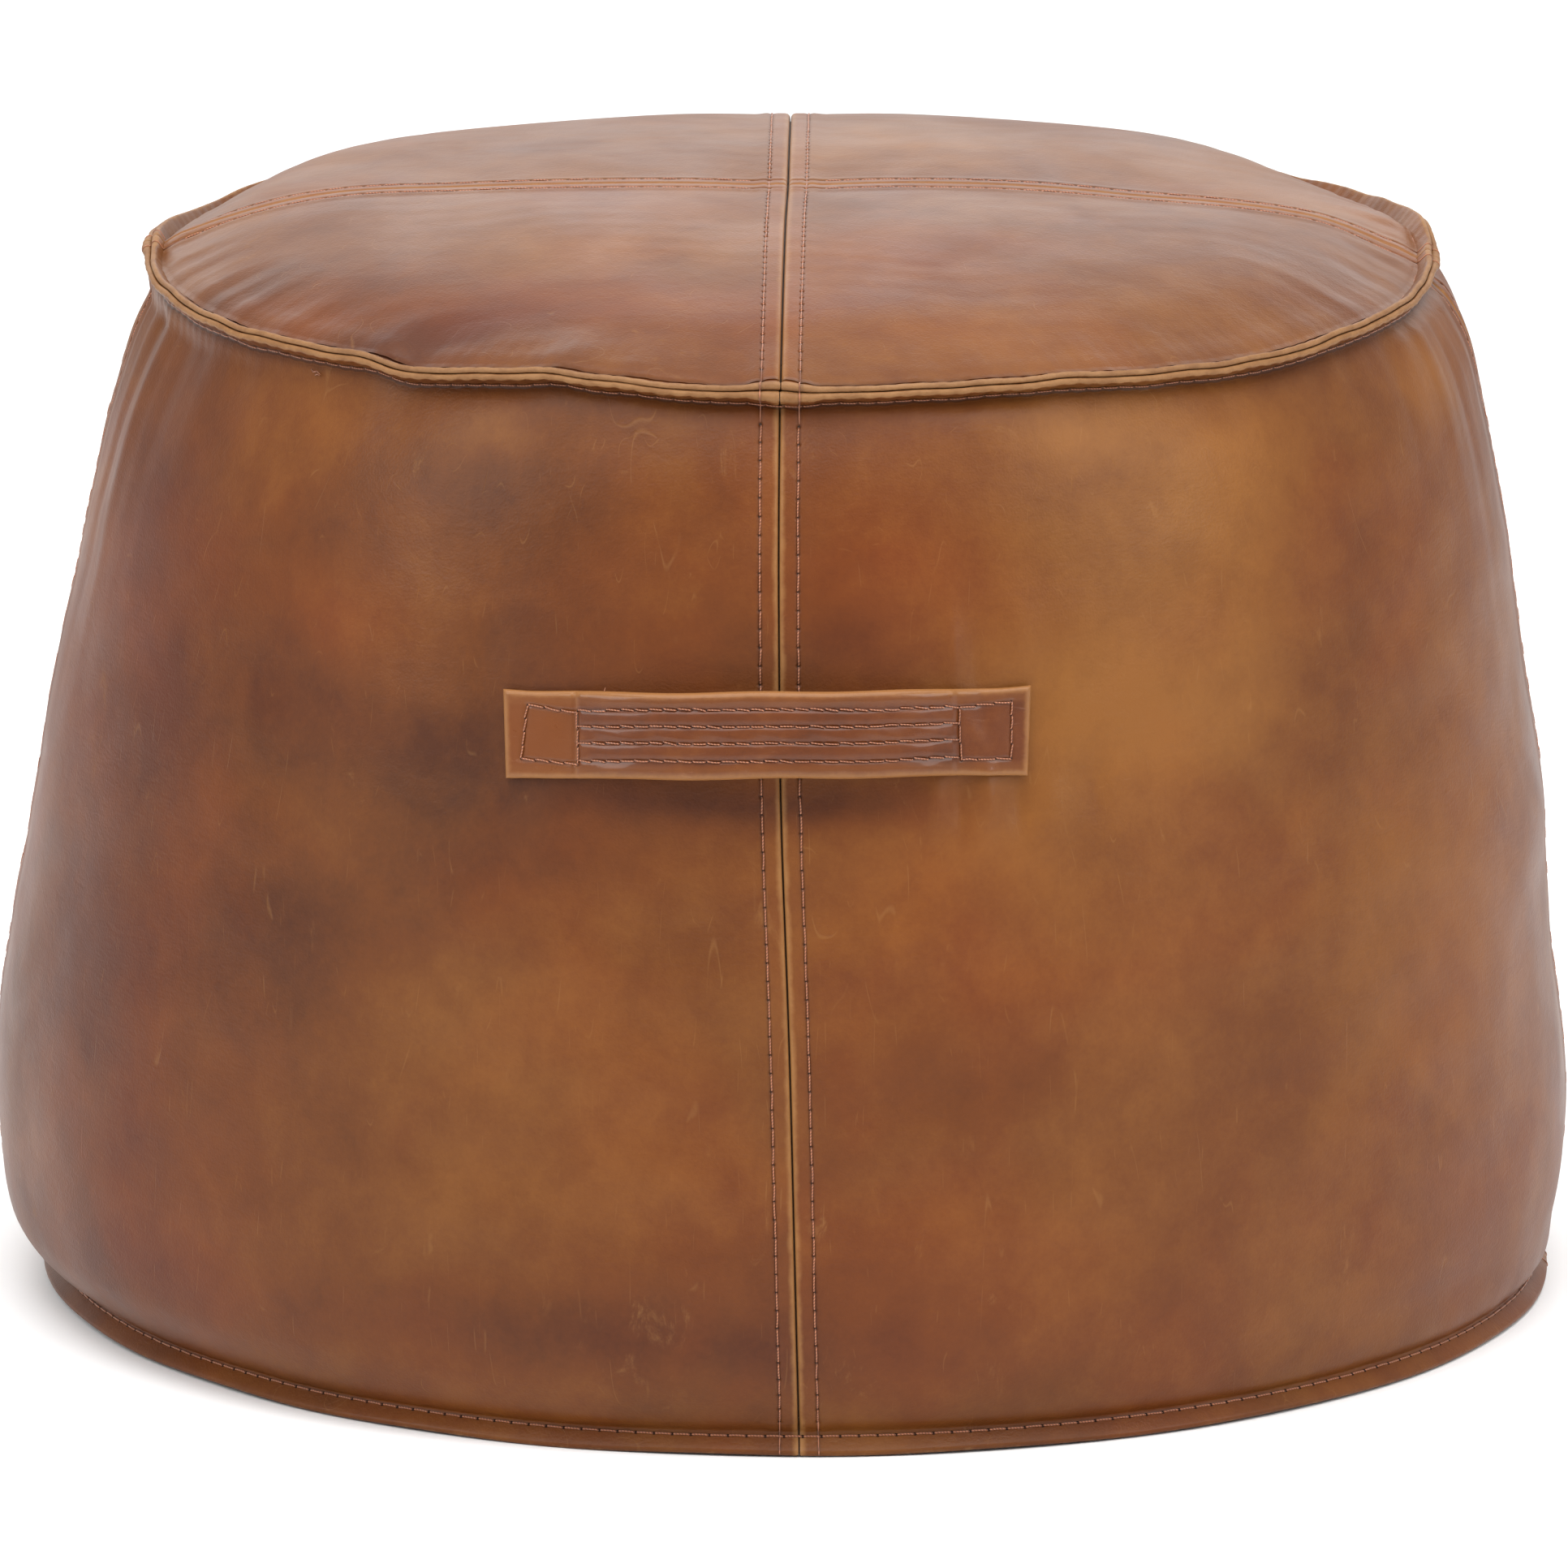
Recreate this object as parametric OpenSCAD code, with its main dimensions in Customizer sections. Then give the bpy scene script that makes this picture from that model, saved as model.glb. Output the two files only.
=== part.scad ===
// Round leather pouf with a strap handle, a zipped base and a removable lined foam fill.
// Millimetres, +Z up. The origin is the centre of the footprint; the handle faces -Y.
// Profiles are drawn in the (radius, height) half plane and revolved, so every panel is a sector
// of the same surface of revolution.

/* [Body] */
// Widest diameter of the body
belly_d = 585; // [540:5:640]
// Height of the widest place above the floor
belly_z = 54; // [45:1:65]
// Total height, floor to the top of the crown
total_h = 420; // [390:5:450]
// Radius of the seam between crown and sides
rim_seam_r = 235; // [220:1:250]
// Height of the crown above the rim seam
crown_h = 31; // [18:1:36]
// Radius of the seam between sides and base
hem_seam_r = 274; // [266:1:280]
// Height of the seam between sides and base
hem_seam_z = 8.2; // [8:0.1:10]

/* [Leather] */
// Thickness of one layer of leather
leather_t = 1.4; // [1:0.1:1.6]
// Width of the raised flange at rim and hem
flange_w = 9; // [6:0.5:11]
// Tilt of the rim flange above the horizontal
rim_tilt = 30; // [10:1:50]
// Tilt of the hem flange below the horizontal
hem_tilt = 45; // [35:1:45]
// Width of the seam allowance turned inside each panel
allowance_w = 12; // [10:0.5:14]
// Gap between two neighbouring panels at their seam
seam_gap = 0.4; // [0.2:0.1:0.6]

/* [Stitching] */
// Distance of each stitch row from its seam
row_offset = 7; // [5:0.5:9]
// Width of a thread row
thread_w = 0.9; // [0.6:0.1:1.2]

/* [Handle] */
// Height of the middle of the handle
handle_z = 275; // [240:5:300]
// Angle, seen from above, by which the handle sits to the left of the front seam
handle_turn = 1.4; // [-3:0.2:3]
// Length of the strap from end to end
handle_l = 196; // [180:2:210]
// Height of the strap
handle_h = 34; // [30:1:38]
// Length of each end that is sewn down
handle_end_l = 27; // [25:1:30]
// Thickness of the padded grip
grip_t = 5; // [4.6:0.1:6]
// Room for fingers behind the middle of the grip
finger_gap = 12.5; // [10:0.5:14]

/* [Base and zip] */
// Thickness of the base cloth
base_t = 1; // [0.8:0.1:1]
// Length of the zip window
zip_window_l = 394; // [380:2:400]
// Length of one zip tooth along the zip
tooth_l = 1.5; // [1.3:0.1:1.6]
// Distance between two teeth on one side
tooth_pitch = 3.4; // [3.3:0.1:3.6]

/* [Hidden] */
$fn = 128;

// Directions in which the four seams leave the axis, and the quarter between two of them
FRONT = -90;
RIGHT = 0;
BACK = 90;
LEFT = 180;

belly_r = belly_d / 2;
rim_seam_z = total_h - crown_h;
turned_t = 2 * leather_t;          // a turned edge is two layers
ply_gap = 0.1;                     // half the gap between the two turned edges of a flange
stitch_in = 2;                     // distance of a flange's stitching from its seam

// Rim: the flange leaves the seam along rim_out, and rim_up points to its crown side
rim_seam = [rim_seam_r, rim_seam_z];
rim_out = [cos(rim_tilt), sin(rim_tilt)];
rim_up = [-sin(rim_tilt), cos(rim_tilt)];
rim_edge = flange_w * rim_out;
crown_end = rim_seam + (turned_t + ply_gap) * rim_up;
side_top = rim_seam - (turned_t + ply_gap) * rim_up;

// Hem: the flange leaves the seam along hem_out, and hem_up points to its side-panel side
hem_seam = [hem_seam_r, hem_seam_z];
hem_out = [cos(hem_tilt), -sin(hem_tilt)];
hem_up = [sin(hem_tilt), cos(hem_tilt)];
hem_edge = flange_w * hem_out;
side_bottom = hem_seam + (turned_t + ply_gap) * hem_up;
base_turned_t = 2 * base_t;
base_end = hem_seam - (base_turned_t + ply_gap) * hem_up;

// Side: an ellipse below the belly, a leaning curve with a shoulder above it
tuck_end = 80;                     // where the ellipse stops, in degrees
tuck_r = (belly_r - side_bottom[0]) / (1 - cos(tuck_end));
tuck_h = (belly_z - side_bottom[1]) / sin(tuck_end);
lean = 41;                         // how far the side leans in below the shoulder
shoulder = belly_r - side_top[0] - lean;
lean_power = 1.5;
shoulder_power = 12;

function side_below(a) = [belly_r - tuck_r * (1 - cos(a)), belly_z - tuck_h * sin(a)];
function side_r(t) = belly_r - lean * pow(t, lean_power) - shoulder * pow(t, shoulder_power);
function side_above(t) = [side_r(t), belly_z + t * (side_top[1] - belly_z)];
function side_curve(tuck_from, t_to) = concat(
    [for (a = [tuck_from : -10 : 10]) side_below(a)],
    [for (t = [0 : 0.1 : min(t_to, 0.7)]) side_above(t)],
    [for (t = [0.76 : 0.04 : t_to + 0.001]) side_above(t)]);

crown_power = 3;
function crown_z(r) = crown_end[1] + (total_h - crown_end[1]) * (1 - pow(r / crown_end[0], crown_power));
function crown_curve(share_from, share_to) =
    [for (i = [0 : 12])
        let (r = crown_end[0] * (share_from + (share_to - share_from) * i / 12)) [r, crown_z(r)]];

// Unit normal of a curve at point i, on the right-hand side of its direction
function along(c, i) = c[min(i + 1, len(c) - 1)] - c[max(i - 1, 0)];
function normal(c, i) = let (d = along(c, i)) [d[1], -d[0]] / norm(d);
// The curve moved by d to its right; the crown runs outwards and the side runs upwards
function moved(c, d) = [for (i = [0 : len(c) - 1]) c[i] + d * normal(c, i)];
function reversed(c) = [for (i = [len(c) - 1 : -1 : 0]) c[i]];
function ribbon(c, from, to) = concat(moved(c, to), reversed(moved(c, from)));
function mirrored(c) = [for (p = c) [-p[0], p[1]]];

side_full = side_curve(tuck_end, 1);
crown_full = crown_curve(0, 1);

// Crown outline moved down by d; its first point stays on the axis
function crown_moved(c, d) =
    [for (i = [0 : len(c) - 1]) i == 0 && c[0][0] == 0 ? c[0] - [0, d] : c[i] + d * normal(c, i)];

top_leather = concat(
    crown_full,
    [crown_end + rim_edge, rim_seam + ply_gap * rim_up + rim_edge, rim_seam + ply_gap * rim_up],
    reversed(crown_moved(crown_full, leather_t)));
top_allowance = concat(crown_curve(0, 0.985), reversed(crown_moved(crown_curve(0, 0.985), turned_t)));

side_leather = concat(
    side_full,
    [side_top + rim_edge, rim_seam - ply_gap * rim_up + rim_edge, rim_seam - ply_gap * rim_up],
    reversed(moved(side_full, -leather_t)),
    [hem_seam + ply_gap * hem_up, hem_seam + ply_gap * hem_up + hem_edge, side_bottom + hem_edge]);
side_allowance_curve = side_curve(60, 0.96);

base_flat_r = 262;                 // where the base starts to rise to its seam
base_leather = concat(
    [[0, 0], [base_flat_r, 0], base_end, base_end + hem_edge],
    [hem_seam - ply_gap * hem_up + hem_edge, hem_seam - ply_gap * hem_up],
    [base_end + base_t * [-0.5, 0.85], [base_flat_r - 0.4, base_t], [0, base_t]]);

// Zip pocket in the base: the cloth turns up at its walls and in again at its lip
pocket_l = zip_window_l + 16;
pocket_w = 36;
pocket_h = 6;
window_w = 18;
tape_z = pocket_h + 0.05;
tape_t = 0.8;
teeth_z = tape_z + tape_t / 2;     // middle of the zip's thickness
tooth_h = 2.6;
tooth_w = 2.8;
teeth_slot = 1.2;                  // slot between the two rows, for the slider's neck
teeth_l = zip_window_l - 16;
zip_room = [pocket_l + 4, pocket_w + 4, 10.5];

// Layers inside the leather, as depths below its outer face
tape_depth = 3.2;
liner_depth = 4.4;
liner_t = 0.8;
fill_depth = 5.7;
core_bottom = [262, 3.4];
core_belly = [262, 40];
core_top = [222, 380];

/* ---------- helpers ---------- */

// One quarter of space, sx and sy being the signs of X and Y, kept back from the seams by half the gap
module quarter(sx, sy) {
    mirror([sx < 0 ? 1 : 0, 0, 0]) mirror([0, sy < 0 ? 1 : 0, 0])
        translate([seam_gap / 2, seam_gap / 2, -1]) cube([400, 400, total_h + 20]);
}

// Everything within w of the planes of the four seams
module seam_cross(w) {
    translate([-w, -400, -1]) cube([2 * w, 800, total_h + 20]);
    translate([-400, -w, -1]) cube([800, 2 * w, total_h + 20]);
}

// A flat slab w wide that carries a profile along one seam, beside it by shift
module slab(direction, shift, w, profile) {
    rotate([0, 0, direction]) translate([0, shift + w / 2, 0]) rotate([90, 0, 0])
        linear_extrude(w) polygon(profile);
}

// The handle's own frame: X along the strap, -Y outwards from the body, Z up the body's slope
handle_t = (handle_z - belly_z) / (side_top[1] - belly_z);
handle_r = side_r(handle_t);
handle_slope = atan((side_r(handle_t - 0.02) - side_r(handle_t + 0.02)) / (0.04 * (side_top[1] - belly_z)));
module handle_frame() {
    rotate([0, 0, -handle_turn]) translate([0, -handle_r, handle_z]) rotate([-handle_slope, 0, 0]) children();
}

// Part of a vertical ring around the point (0, centre_y), between two radii and two places along X
module ring_piece(centre_y, r_in, r_out, x_from, x_to, h) {
    translate([0, 0, -h / 2]) intersection() {
        translate([0, centre_y, 0]) difference() {
            cylinder(r = r_out, h = h);
            translate([0, 0, -1]) cylinder(r = r_in, h = h + 2);
        }
        translate([x_from, centre_y - 2 * r_out, -1]) cube([x_to - x_from, 2 * r_out, h + 2]);
    }
}

/* ---------- cover ---------- */

module top_panel(sx, sy) {
    color([0.52, 0.31, 0.18]) intersection() {
        union() {
            rotate_extrude() polygon(top_leather);
            intersection() {
                rotate_extrude() polygon(top_allowance);
                seam_cross(allowance_w);
            }
        }
        quarter(sx, sy);
    }
}

module side_panel(sx, sy) {
    color([0.50, 0.29, 0.15]) intersection() {
        union() {
            rotate_extrude() polygon(side_leather);
            intersection() {
                rotate_extrude() polygon(ribbon(side_allowance_curve, -turned_t, -leather_t / 2));
                seam_cross(allowance_w);
            }
        }
        quarter(sx, sy);
    }
}

module centred_box(l, w, z_from, z_to) {
    translate([-l / 2, -w / 2, z_from]) cube([l, w, z_to - z_from]);
}

module base_panel(sy) {
    color([0.16, 0.12, 0.10]) intersection() {
        union() {
            difference() {
                rotate_extrude() polygon(base_leather);
                centred_box(pocket_l, pocket_w, -1, base_t + 1);
            }
            difference() {
                centred_box(pocket_l + 2 * base_t, pocket_w + 2 * base_t, 0, pocket_h);
                centred_box(pocket_l, pocket_w, -1, pocket_h - base_t);
                centred_box(zip_window_l, window_w, -1, pocket_h + 1);
            }
        }
        mirror([0, sy < 0 ? 1 : 0, 0]) translate([-400, seam_gap / 2, -1]) cube([800, 400, 40]);
    }
}

/* ---------- stitching and seam tapes ---------- */

// Two rows of thread beside a seam of the sides
module side_seam_thread(direction) {
    color([0.62, 0.36, 0.24]) for (s = [-1, 1])
        slab(direction, s * row_offset, thread_w, ribbon(side_curve(70, 0.96), -0.5, 0.4));
}

module side_seam_tape(direction) {
    color([0.85, 0.82, 0.75])
        slab(direction, 0, 2 * allowance_w, ribbon(side_curve(60, 0.96), -tape_depth - 0.6, -tape_depth));
}

// A strip of the crown's outline between two depths, from one share of its radius to another
function crown_strip(share_from, share_to, depth_from, depth_to) =
    let (c = crown_curve(share_from, share_to))
    concat(crown_moved(c, depth_from), reversed(crown_moved(c, depth_to)));

// The same across the whole crown, from rim to rim
function crown_strip_across(share_to, depth_from, depth_to) =
    let (c = crown_curve(0, share_to), a = crown_moved(c, depth_from), b = crown_moved(c, depth_to))
    concat(mirrored(reversed(a)), [for (i = [1 : len(a) - 1]) a[i]], reversed(b),
           [for (i = [1 : len(b) - 1]) [-b[i][0], b[i][1]]]);

module top_seam_thread_across() {
    color([0.62, 0.36, 0.24]) for (s = [-1, 1])
        slab(BACK, s * row_offset, thread_w, crown_strip_across(0.96, -0.4, 0.5));
}

module top_seam_thread(direction) {
    color([0.62, 0.36, 0.24]) for (s = [-1, 1])
        slab(direction, s * row_offset, thread_w, crown_strip(0.04, 0.96, -0.4, 0.5));
}

module top_seam_tape_across() {
    color([0.85, 0.82, 0.75])
        slab(BACK, 0, 2 * allowance_w, crown_strip_across(0.93, tape_depth, tape_depth + 0.6));
}

module top_seam_tape(direction) {
    color([0.85, 0.82, 0.75])
        slab(direction, 0, 2 * allowance_w, crown_strip(0.055, 0.93, tape_depth, tape_depth + 0.6));
}

module thread_ring(p) {
    rotate_extrude() translate(p) circle(d = thread_w);
}

module rim_thread() {
    color([0.62, 0.36, 0.24]) {
        thread_ring(crown_end + stitch_in * rim_out);
        thread_ring(side_top + stitch_in * rim_out);
    }
}

module hem_thread() {
    color([0.62, 0.36, 0.24]) {
        thread_ring(side_bottom + stitch_in * hem_out);
        thread_ring(base_end + stitch_in * hem_out);
    }
}

/* ---------- handle ---------- */

end_t = 4;                         // thickness of the strap where it is sewn down
end_gap = 0.3;                     // between the strap's back and the side panel
joint_gap = 0.5;                   // between the grip and each sewn end
grip_x = handle_l / 2 - handle_end_l - joint_gap;
core_h = 26;
core_t = 2.4;

// The grip bows from the body's surface at its ends to finger_gap off it in the middle
surface_drop = handle_r - sqrt(handle_r * handle_r - grip_x * grip_x);
bow = finger_gap + surface_drop - end_gap;
grip_r = (grip_x * grip_x + bow * bow) / (2 * bow);
grip_centre_y = grip_r - finger_gap;

box_inset = 7;                     // the box of stitches on each sewn end, from the strap's end
box_l = 19;
box_h = 20.4;
grip_rows = [-10.2, -3.2, 3.2, 10.2];

module handle_end(s) {
    x_far = handle_l / 2;
    r_back = handle_r + end_gap;
    color([0.45, 0.26, 0.15]) handle_frame() mirror([s < 0 ? 1 : 0, 0, 0])
        ring_piece(handle_r, r_back, r_back + end_t, x_far - handle_end_l, x_far, handle_h);
}

module handle_grip() {
    core_gap = 0.15;
    core_r = grip_r + (grip_t - core_t) / 2;
    color([0.45, 0.26, 0.15]) handle_frame() difference() {
        ring_piece(grip_centre_y, grip_r, grip_r + grip_t, -grip_x, grip_x, handle_h);
        ring_piece(grip_centre_y, core_r - core_gap, core_r + core_t + core_gap,
                   -grip_x - 1, grip_x + 1, core_h + 2 * core_gap);
    }
}

module handle_core() {
    core_r = grip_r + (grip_t - core_t) / 2;
    color([0.75, 0.72, 0.62]) handle_frame()
        ring_piece(grip_centre_y, core_r, core_r + core_t, -grip_x + 1, grip_x - 1, core_h);
}

// Rectangle l by h around the middle of a sewn end, as a prism right through the strap
module end_prism(x_mid, l, h, depth) {
    translate([x_mid - l / 2, -depth / 2, -h / 2]) cube([l, depth, h]);
}

module handle_end_thread() {
    r_face = handle_r + end_gap + end_t;
    x_mid = handle_l / 2 - box_inset - box_l / 2;
    depth = 120;
    color([0.62, 0.36, 0.24]) handle_frame() for (s = [-1, 1]) mirror([s < 0 ? 1 : 0, 0, 0])
        intersection() {
            ring_piece(handle_r, r_face - 0.5, r_face + 0.4, x_mid - box_l, x_mid + box_l, handle_h);
            difference() {
                end_prism(x_mid, box_l, box_h, depth);
                end_prism(x_mid, box_l - 2 * thread_w, box_h - 2 * thread_w, depth + 2);
            }
        }
}

module handle_grip_thread() {
    r_face = grip_r + grip_t;
    color([0.62, 0.36, 0.24]) handle_frame() for (z = grip_rows) translate([0, 0, z])
        ring_piece(grip_centre_y, r_face - 0.5, r_face + 0.4, -grip_x + 2, grip_x - 2, thread_w);
}

// Leather patch inside the cover, behind a sewn end of the strap
module handle_backing(s) {
    x_far = handle_l / 2 + 5;
    color([0.40, 0.24, 0.14]) handle_frame() mirror([s < 0 ? 1 : 0, 0, 0])
        ring_piece(handle_r, handle_r - 3, handle_r - 2, x_far - handle_end_l - 10, x_far, handle_h + 10);
}

/* ---------- zip ---------- */

module zip_tape(sy) {
    color([0.20, 0.15, 0.12]) mirror([0, sy < 0 ? 1 : 0, 0])
        translate([-pocket_l / 2 + 1, teeth_slot / 2 + 1.8, tape_z])
            cube([pocket_l - 2, pocket_w / 2 - 3.4, tape_t]);
}

// A row of teeth; the two rows are half a pitch apart
module zip_teeth(sy) {
    shift = sy < 0 ? 0 : tooth_pitch / 2;
    color([0.72, 0.58, 0.33]) mirror([0, sy < 0 ? 1 : 0, 0])
        for (x = [-teeth_l / 2 + shift : tooth_pitch : teeth_l / 2 - tooth_pitch])
            translate([x, teeth_slot / 2, teeth_z - tooth_h / 2]) cube([tooth_l, tooth_w, tooth_h]);
}

stop_x = teeth_l / 2 + 1;
stop_l = 2.5;
stop_h = 2.4;
slider_l = 14;
slider_x = stop_x - 0.5 - slider_l / 2;
slider_w = 11;
plate_t = 1.2;
plate_gap = 0.3;                   // between a plate and the teeth
lower_plate_z = teeth_z - tooth_h / 2 - plate_gap - plate_t;
upper_plate_z = teeth_z + tooth_h / 2 + plate_gap;
pin_z = lower_plate_z - 1.5;
pin_r = 0.5;
pin_clearance = 0.06;

module zip_end_stops() {
    color([0.72, 0.58, 0.33]) {
        for (sy = [-1, 1]) mirror([0, sy < 0 ? 1 : 0, 0])
            translate([stop_x, teeth_slot / 2, teeth_z - stop_h / 2]) cube([stop_l, tooth_w, stop_h]);
        translate([-stop_x - stop_l, -teeth_slot / 2 - tooth_w, teeth_z - stop_h / 2])
            cube([stop_l, teeth_slot + 2 * tooth_w, stop_h]);
    }
}

// Two plates with lips along their edges, a neck between them, and two ears that hold the pull's pin
module zip_slider() {
    neck_w = 0.7;
    neck_l = 3;
    lip_h = 0.7;
    lip_w = 1.2;
    lip_y = slider_w / 2 - lip_w;
    ear_l = 2.4;
    ear_w = 1;
    ear_y = 2.55;
    ear_bottom = pin_z - 1;
    pin_l = 7;
    color([0.66, 0.52, 0.28]) translate([slider_x, 0, 0]) {
        for (z = [lower_plate_z, upper_plate_z])
            translate([-slider_l / 2, -slider_w / 2, z]) cube([slider_l, slider_w, plate_t]);
        translate([slider_l / 2 - neck_l - 1, -neck_w / 2, lower_plate_z])
            cube([neck_l, neck_w, upper_plate_z - lower_plate_z + plate_t]);
        for (sy = [-1, 1]) mirror([0, sy < 0 ? 1 : 0, 0]) {
            for (z = [lower_plate_z, upper_plate_z - lip_h])
                translate([-slider_l / 2, lip_y, z]) cube([slider_l, lip_w, plate_t + lip_h]);
            translate([-ear_l / 2, ear_y, ear_bottom]) cube([ear_l, ear_w, lower_plate_z - ear_bottom + 0.5]);
        }
        translate([0, pin_l / 2, pin_z]) rotate([90, 0, 0]) cylinder(r = pin_r, h = pin_l);
    }
}

module zip_pull() {
    barrel_r = 1.1;
    barrel_l = 4.6;
    tab_l = 22;
    tab_w = 7;
    tab_t = 1.2;
    neck_l = 6;
    hole_r = 1.6;
    droop = 3.6;                   // the tab's free end lies on the floor
    color([0.66, 0.52, 0.28]) translate([slider_x, 0, pin_z]) rotate([0, -droop, 0]) difference() {
        union() {
            translate([0, barrel_l / 2, 0]) rotate([90, 0, 0]) cylinder(r = barrel_r, h = barrel_l);
            translate([-neck_l, -barrel_l / 2, -tab_t / 2]) cube([neck_l, barrel_l, tab_t]);
            translate([-tab_l, -tab_w / 2, -tab_t / 2]) cube([tab_l - neck_l + 1, tab_w, tab_t]);
        }
        translate([0, tab_w / 2, 0]) rotate([90, 0, 0]) cylinder(r = pin_r + pin_clearance, h = tab_w);
        translate([-tab_l + tab_w / 2, 0, -2]) cylinder(r = hole_r, h = 4);
    }
}

/* ---------- liner and fill ---------- */

module zip_clearance(extra) {
    centred_box(zip_room[0] + 2 * extra, zip_room[1] + 2 * extra, -1, zip_room[2] + extra);
}

liner_shoulder = moved(side_curve(60, 0.96), -liner_depth);
liner_foot = liner_shoulder[0];
liner_head = liner_shoulder[len(liner_shoulder) - 1];

module liner_top() {
    c = crown_curve(0, 0.93);
    a = crown_moved(c, liner_depth);
    b = crown_moved(c, liner_depth + liner_t);
    edge = liner_head + [-0.6, 1.2];
    color([0.93, 0.90, 0.84]) rotate_extrude() polygon(concat(a, [edge, edge - [1, 0.4]], reversed(b)));
}

module liner_side() {
    color([0.93, 0.90, 0.84]) rotate_extrude()
        polygon(ribbon(side_curve(60, 0.96), -liner_depth - liner_t, -liner_depth));
}

module liner_base() {
    z = 1.6;
    r = 256;
    edge = liner_foot - [0.4, 1];
    color([0.93, 0.90, 0.84]) difference() {
        union() {
            rotate_extrude()
                polygon([[0, z], [r, z], edge, edge + [-1, 0.3], [r - 0.4, z + liner_t], [0, z + liner_t]]);
            intersection() {
                zip_clearance(liner_t);
                translate([-400, -400, z]) cube([800, 800, 30]);
            }
        }
        zip_clearance(0);
    }
}

module foam_core() {
    foot = core_bottom - [14, 0];
    color([0.93, 0.89, 0.70]) difference() {
        rotate_extrude() polygon([[0, foot[1]], foot, core_belly, core_top, [0, core_top[1]]]);
        zip_clearance(liner_t + 0.5);
    }
}

module side_wadding() {
    gap = 0.5;
    outer = moved(side_curve(50, 0.92), -fill_depth);
    foot = [core_belly[0] - 1 + gap, outer[0][1]];
    color([0.97, 0.97, 0.95]) rotate_extrude()
        polygon(concat(outer, [core_top + [gap, -2], core_belly + [gap, 0], foot]));
}

module crown_pad() {
    c = crown_curve(0, 0.92);
    underside = core_top[1] + 0.5;
    edge = [c[len(c) - 1][0] + 4, core_top[1] + 6];
    color([0.97, 0.97, 0.95]) rotate_extrude()
        polygon(concat(crown_moved(c, fill_depth), [edge, [core_top[0] + 4, underside], [0, underside]]));
}

top_panel(-1, -1);  // top_panel_front_left
top_panel(1, -1);  // top_panel_front_right
top_panel(-1, 1);  // top_panel_back_left
top_panel(1, 1);  // top_panel_back_right
side_panel(-1, -1);  // side_panel_front_left
side_panel(1, -1);  // side_panel_front_right
side_panel(-1, 1);  // side_panel_back_left
side_panel(1, 1);  // side_panel_back_right
base_panel(-1);  // base_panel_front
base_panel(1);  // base_panel_back
top_seam_thread_across();  // top_seam_thread_front_back
top_seam_thread(LEFT);  // top_seam_thread_left
top_seam_thread(RIGHT);  // top_seam_thread_right
side_seam_thread(FRONT);  // side_seam_thread_front
side_seam_thread(RIGHT);  // side_seam_thread_right
side_seam_thread(BACK);  // side_seam_thread_back
side_seam_thread(LEFT);  // side_seam_thread_left
rim_thread();
hem_thread();
top_seam_tape_across();  // top_seam_tape_front_back
top_seam_tape(LEFT);  // top_seam_tape_left
top_seam_tape(RIGHT);  // top_seam_tape_right
side_seam_tape(FRONT);  // side_seam_tape_front
side_seam_tape(RIGHT);  // side_seam_tape_right
side_seam_tape(BACK);  // side_seam_tape_back
side_seam_tape(LEFT);  // side_seam_tape_left
handle_end(-1);  // handle_left_end
handle_end(1);  // handle_right_end
handle_grip();
handle_core();
handle_end_thread();
handle_grip_thread();
handle_backing(-1);  // handle_backing_left
handle_backing(1);  // handle_backing_right
zip_tape(-1);  // zip_tape_front
zip_tape(1);  // zip_tape_back
zip_teeth(-1);  // zip_teeth_front
zip_teeth(1);  // zip_teeth_back
zip_end_stops();
zip_slider();
zip_pull();
liner_top();
liner_side();
liner_base();
foam_core();
side_wadding();
crown_pad();
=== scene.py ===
import math

import bpy
import numpy as np
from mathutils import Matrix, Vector


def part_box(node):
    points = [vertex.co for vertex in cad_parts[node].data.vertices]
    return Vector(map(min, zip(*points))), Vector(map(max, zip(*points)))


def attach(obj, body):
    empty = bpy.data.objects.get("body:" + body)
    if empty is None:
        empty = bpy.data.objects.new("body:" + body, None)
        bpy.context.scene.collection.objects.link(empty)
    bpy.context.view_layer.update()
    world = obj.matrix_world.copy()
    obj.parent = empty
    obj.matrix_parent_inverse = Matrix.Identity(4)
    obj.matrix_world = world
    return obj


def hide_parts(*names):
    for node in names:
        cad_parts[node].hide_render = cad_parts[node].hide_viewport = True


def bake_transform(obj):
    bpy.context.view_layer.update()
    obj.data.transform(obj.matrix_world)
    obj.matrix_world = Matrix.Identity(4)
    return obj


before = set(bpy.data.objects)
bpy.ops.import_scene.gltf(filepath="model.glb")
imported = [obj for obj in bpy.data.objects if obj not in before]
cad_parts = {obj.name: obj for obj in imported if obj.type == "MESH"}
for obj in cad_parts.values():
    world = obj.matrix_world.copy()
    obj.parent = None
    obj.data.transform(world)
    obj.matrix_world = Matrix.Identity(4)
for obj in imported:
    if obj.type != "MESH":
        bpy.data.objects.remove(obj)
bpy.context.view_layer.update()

# Lengths are in millimetres until a mesh is made. Angles round the pouf are in degrees from the
# front (-Y) towards +X. "v" runs up the side from the hem seam, along the leather.
MM = 0.001
rng = np.random.default_rng(7)

# ---------------------------------------------------------------- driving sizes

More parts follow.
